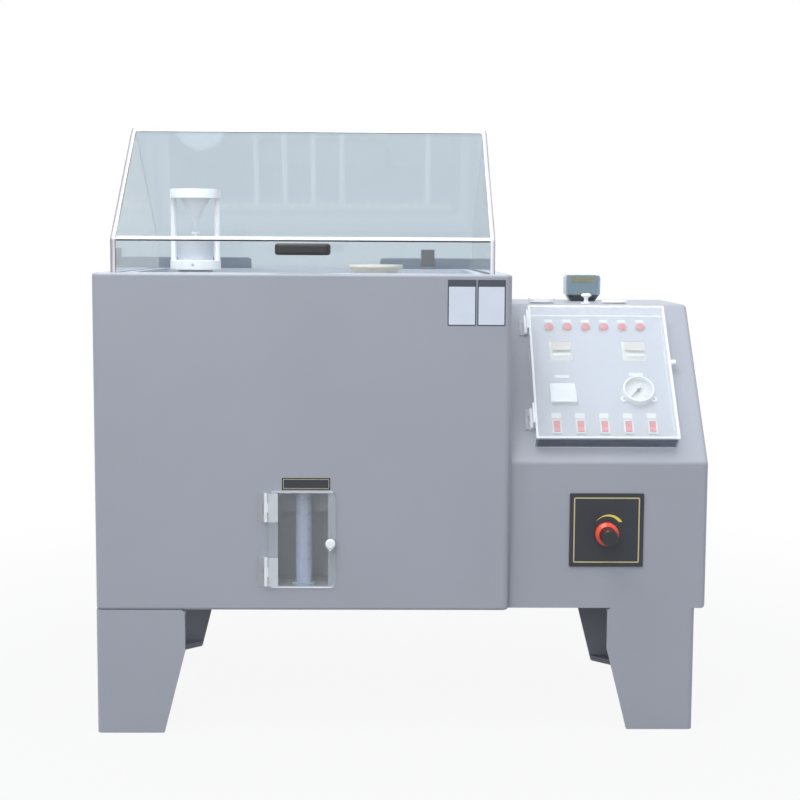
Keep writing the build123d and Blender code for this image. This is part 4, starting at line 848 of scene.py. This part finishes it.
# Air regulator. A black anodised square plate with a printed gold border and a yellow arc
# that widens to the right, round a fluted black knob with an orange-red ring.
plate_black = moulded_plastic("black_anodised_plate", "2F323A", "292C33", 0.4)
dress(plate_black, "regulator_plate")
gold_print = moulded_plastic("pale_gold_print", "C9C48F", "BDB780", 0.36)
yellow_print = moulded_plastic("yellow_print", "E6DC62", "DACE52", 0.36)
orange_ring = moulded_plastic("orange_red_ring_plastic", "E8573F", "D9472F", 0.24)
dress(orange_ring, "regulator_ring")
knob_black = moulded_plastic("fluted_black_knob_plastic", "27292F", "212328", 0.34)
dress(knob_black, "regulator_knob")

face_turn = (quarter, 0.0, 0.0)


def border(name, wide, high, thick, line, corner):
    """A thin printed line round a rectangle."""
    inside = card("inside", wide - 2 * line, high - 2 * line, 3 * thick,
                  max(corner - line, 0.4), -thick)
    return carve(card(name, wide, high, thick, corner), inside)


knob_x, plate_face, knob_z, plate_z = 357.2, -280.5, 353.5, 359.6
plate_border = settle(painted(border("plate_border", 116.0, 116.0, 0.12, 2.2, 3.0), gold_print),
                      (knob_x, plate_face, plate_z), face_turn)
arc = carve(
    settle(turned("knob_arc", 96, [(27.05, 0.0), (27.05, 0.12)]), (4.38, 6.77, 0.0)),
    settle(turned("arc_cutter", 96, [(24.89, -1.0), (24.89, 1.0)]), (1.18, 5.86, 0.0)),
)
carve(arc, bar("arc_end_cutter", (-40.0, -40.0, -1.0), (40.0, 20.8, 1.0)))
settle(painted(arc, yellow_print), (knob_x, plate_face, knob_z), face_turn)
plate_prints = joined("regulator_plate_prints", [plate_border, arc])
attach(plate_prints, "cabinet")


# Filler hopper and caps. The hopper is smoked acrylic, coloured much darker below the top of its
# foot, with a bare name band on its front. The plug and the two port caps are turned white PVC.
hopper_foot_top = 759.5
smoked, tree, coords, shader = acrylic("smoked_hopper_acrylic", "8FA3AB", 0.35, 0.04)
axes = add_node(tree, "SeparateXYZ", {0: coords})
foot_share = add_node(tree, "MapRange", {
    "Value": axes.outputs["Z"],
    "From Min": (hopper_foot_top - 1.0) * mm, "From Max": (hopper_foot_top + 1.0) * mm,
})
# Much darker below the top of the foot, lighter blue-grey above.
hopper_colour_by_height = add_node(tree, "MixRGB", {
    "Fac": foot_share.outputs[0], "Color1": tint("3E474D"), "Color2": tint("9DB1BA"),
})
tree.links.new(hopper_colour_by_height.outputs[0], shader.inputs["Base Color"])
dress(smoked, "filler_hopper")
dress(white_pvc, "filler_plug", "left_port_cap", "right_port_cap", "port_necks")
band_stock = moulded_plastic("olive_gold_label_film", "8E8C70", "7F7D62", 0.4)
hopper_band = settle(painted(card("hopper_band", 46.0, 9.0, 0.25, 0.6), band_stock),
                     (358.5, 92.0, 789.5), face_turn)
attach(hopper_band, "cabinet")


# Plates on the cabinet's front. Two framed cards near the lid and a small dark one with a gold
# line over the window, glued on and here bare.
navy_stock = moulded_plastic("dark_navy_label_film", "4A505E", "40464F", 0.4)
pale_stock = moulded_plastic("pale_label_film", "DBE2EE", "D3DAE6", 0.38)
front_face, card_z, card_height = -300.0, 757.5, 79.0
cards = []
for left, right in [(74.0, 123.0), (125.0, 173.4)]:
    wide, middle = right - left, (left + right) / 2
    backing = painted(card("backing", wide, card_height, 0.3, 1.2), navy_stock)
    field = painted(card("field", wide - 4.0, card_height - 14.0, 0.2, 0.8), pale_stock)
    cards.append(settle(backing, (middle, front_face, card_z), face_turn))
    cards.append(settle(field, (middle, front_face - 0.25, card_z - 5.0), face_turn))
label_cards = joined("front_label_cards", cards)
window_card_x, window_card_z = -168.65, 443.05
window_card = settle(painted(card("window_card", 83.9, 20.9, 0.3, 1.0), plate_black),
                     (window_card_x, front_face, window_card_z), face_turn)
window_line = settle(painted(border("window_line", 79.5, 16.5, 0.1, 0.8, 1.0), gold_print),
                     (window_card_x, front_face - 0.3, window_card_z), face_turn)
window_plate = joined("window_plate", [window_card, window_line])
for piece in (label_cards, window_plate):
    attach(piece, "cabinet")


# Cylinder scale. Moulded graduation lines on the measuring cylinder with plain numbers.
scale_print = moulded_plastic("moulded_scale_ink", "5F7FA8", "54749C", 0.4)
cylinder_x, cylinder_y, line_radius = -174.1, -262.0, 14.62
scale_foot, line_pitch, line_count, long_every = 275.0, 5.4, 25, 5


def bearing_off_front(face):
    """The angle between a face of a ring and the front, in radians."""
    middle = face.calc_center_median()
    return abs(math.atan2(middle.x, -middle.y))


marks = []
for i in range(line_count + 1):
    bpy.ops.mesh.primitive_cylinder_add(
        vertices=120, radius=line_radius * mm, depth=0.5 * mm, end_fill_type="NOTHING",
    )
    mark = bpy.context.object
    bpy.ops.object.mode_set(mode="EDIT")
    half_angle = 0.24 if i % long_every else 0.42
    pick(mark, "faces", lambda face: bearing_off_front(face) > half_angle)
    bpy.ops.mesh.delete(type="FACE")
    bpy.ops.object.mode_set(mode="OBJECT")
    marks.append(settle(mark, (cylinder_x, cylinder_y, scale_foot + line_pitch * i)))
for i in range(1, line_count // long_every + 1):
    marks.append(settle(
        numeral(10 * i, 7.0, "TOP_BASELINE"),
        (cylinder_x + 7.1, cylinder_y - 12.9, scale_foot + 1.0 + long_every * line_pitch * i),
        face_turn,
    ))
cylinder_scale = painted(joined("cylinder_scale", marks), scale_print)
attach(cylinder_scale, "cabinet")
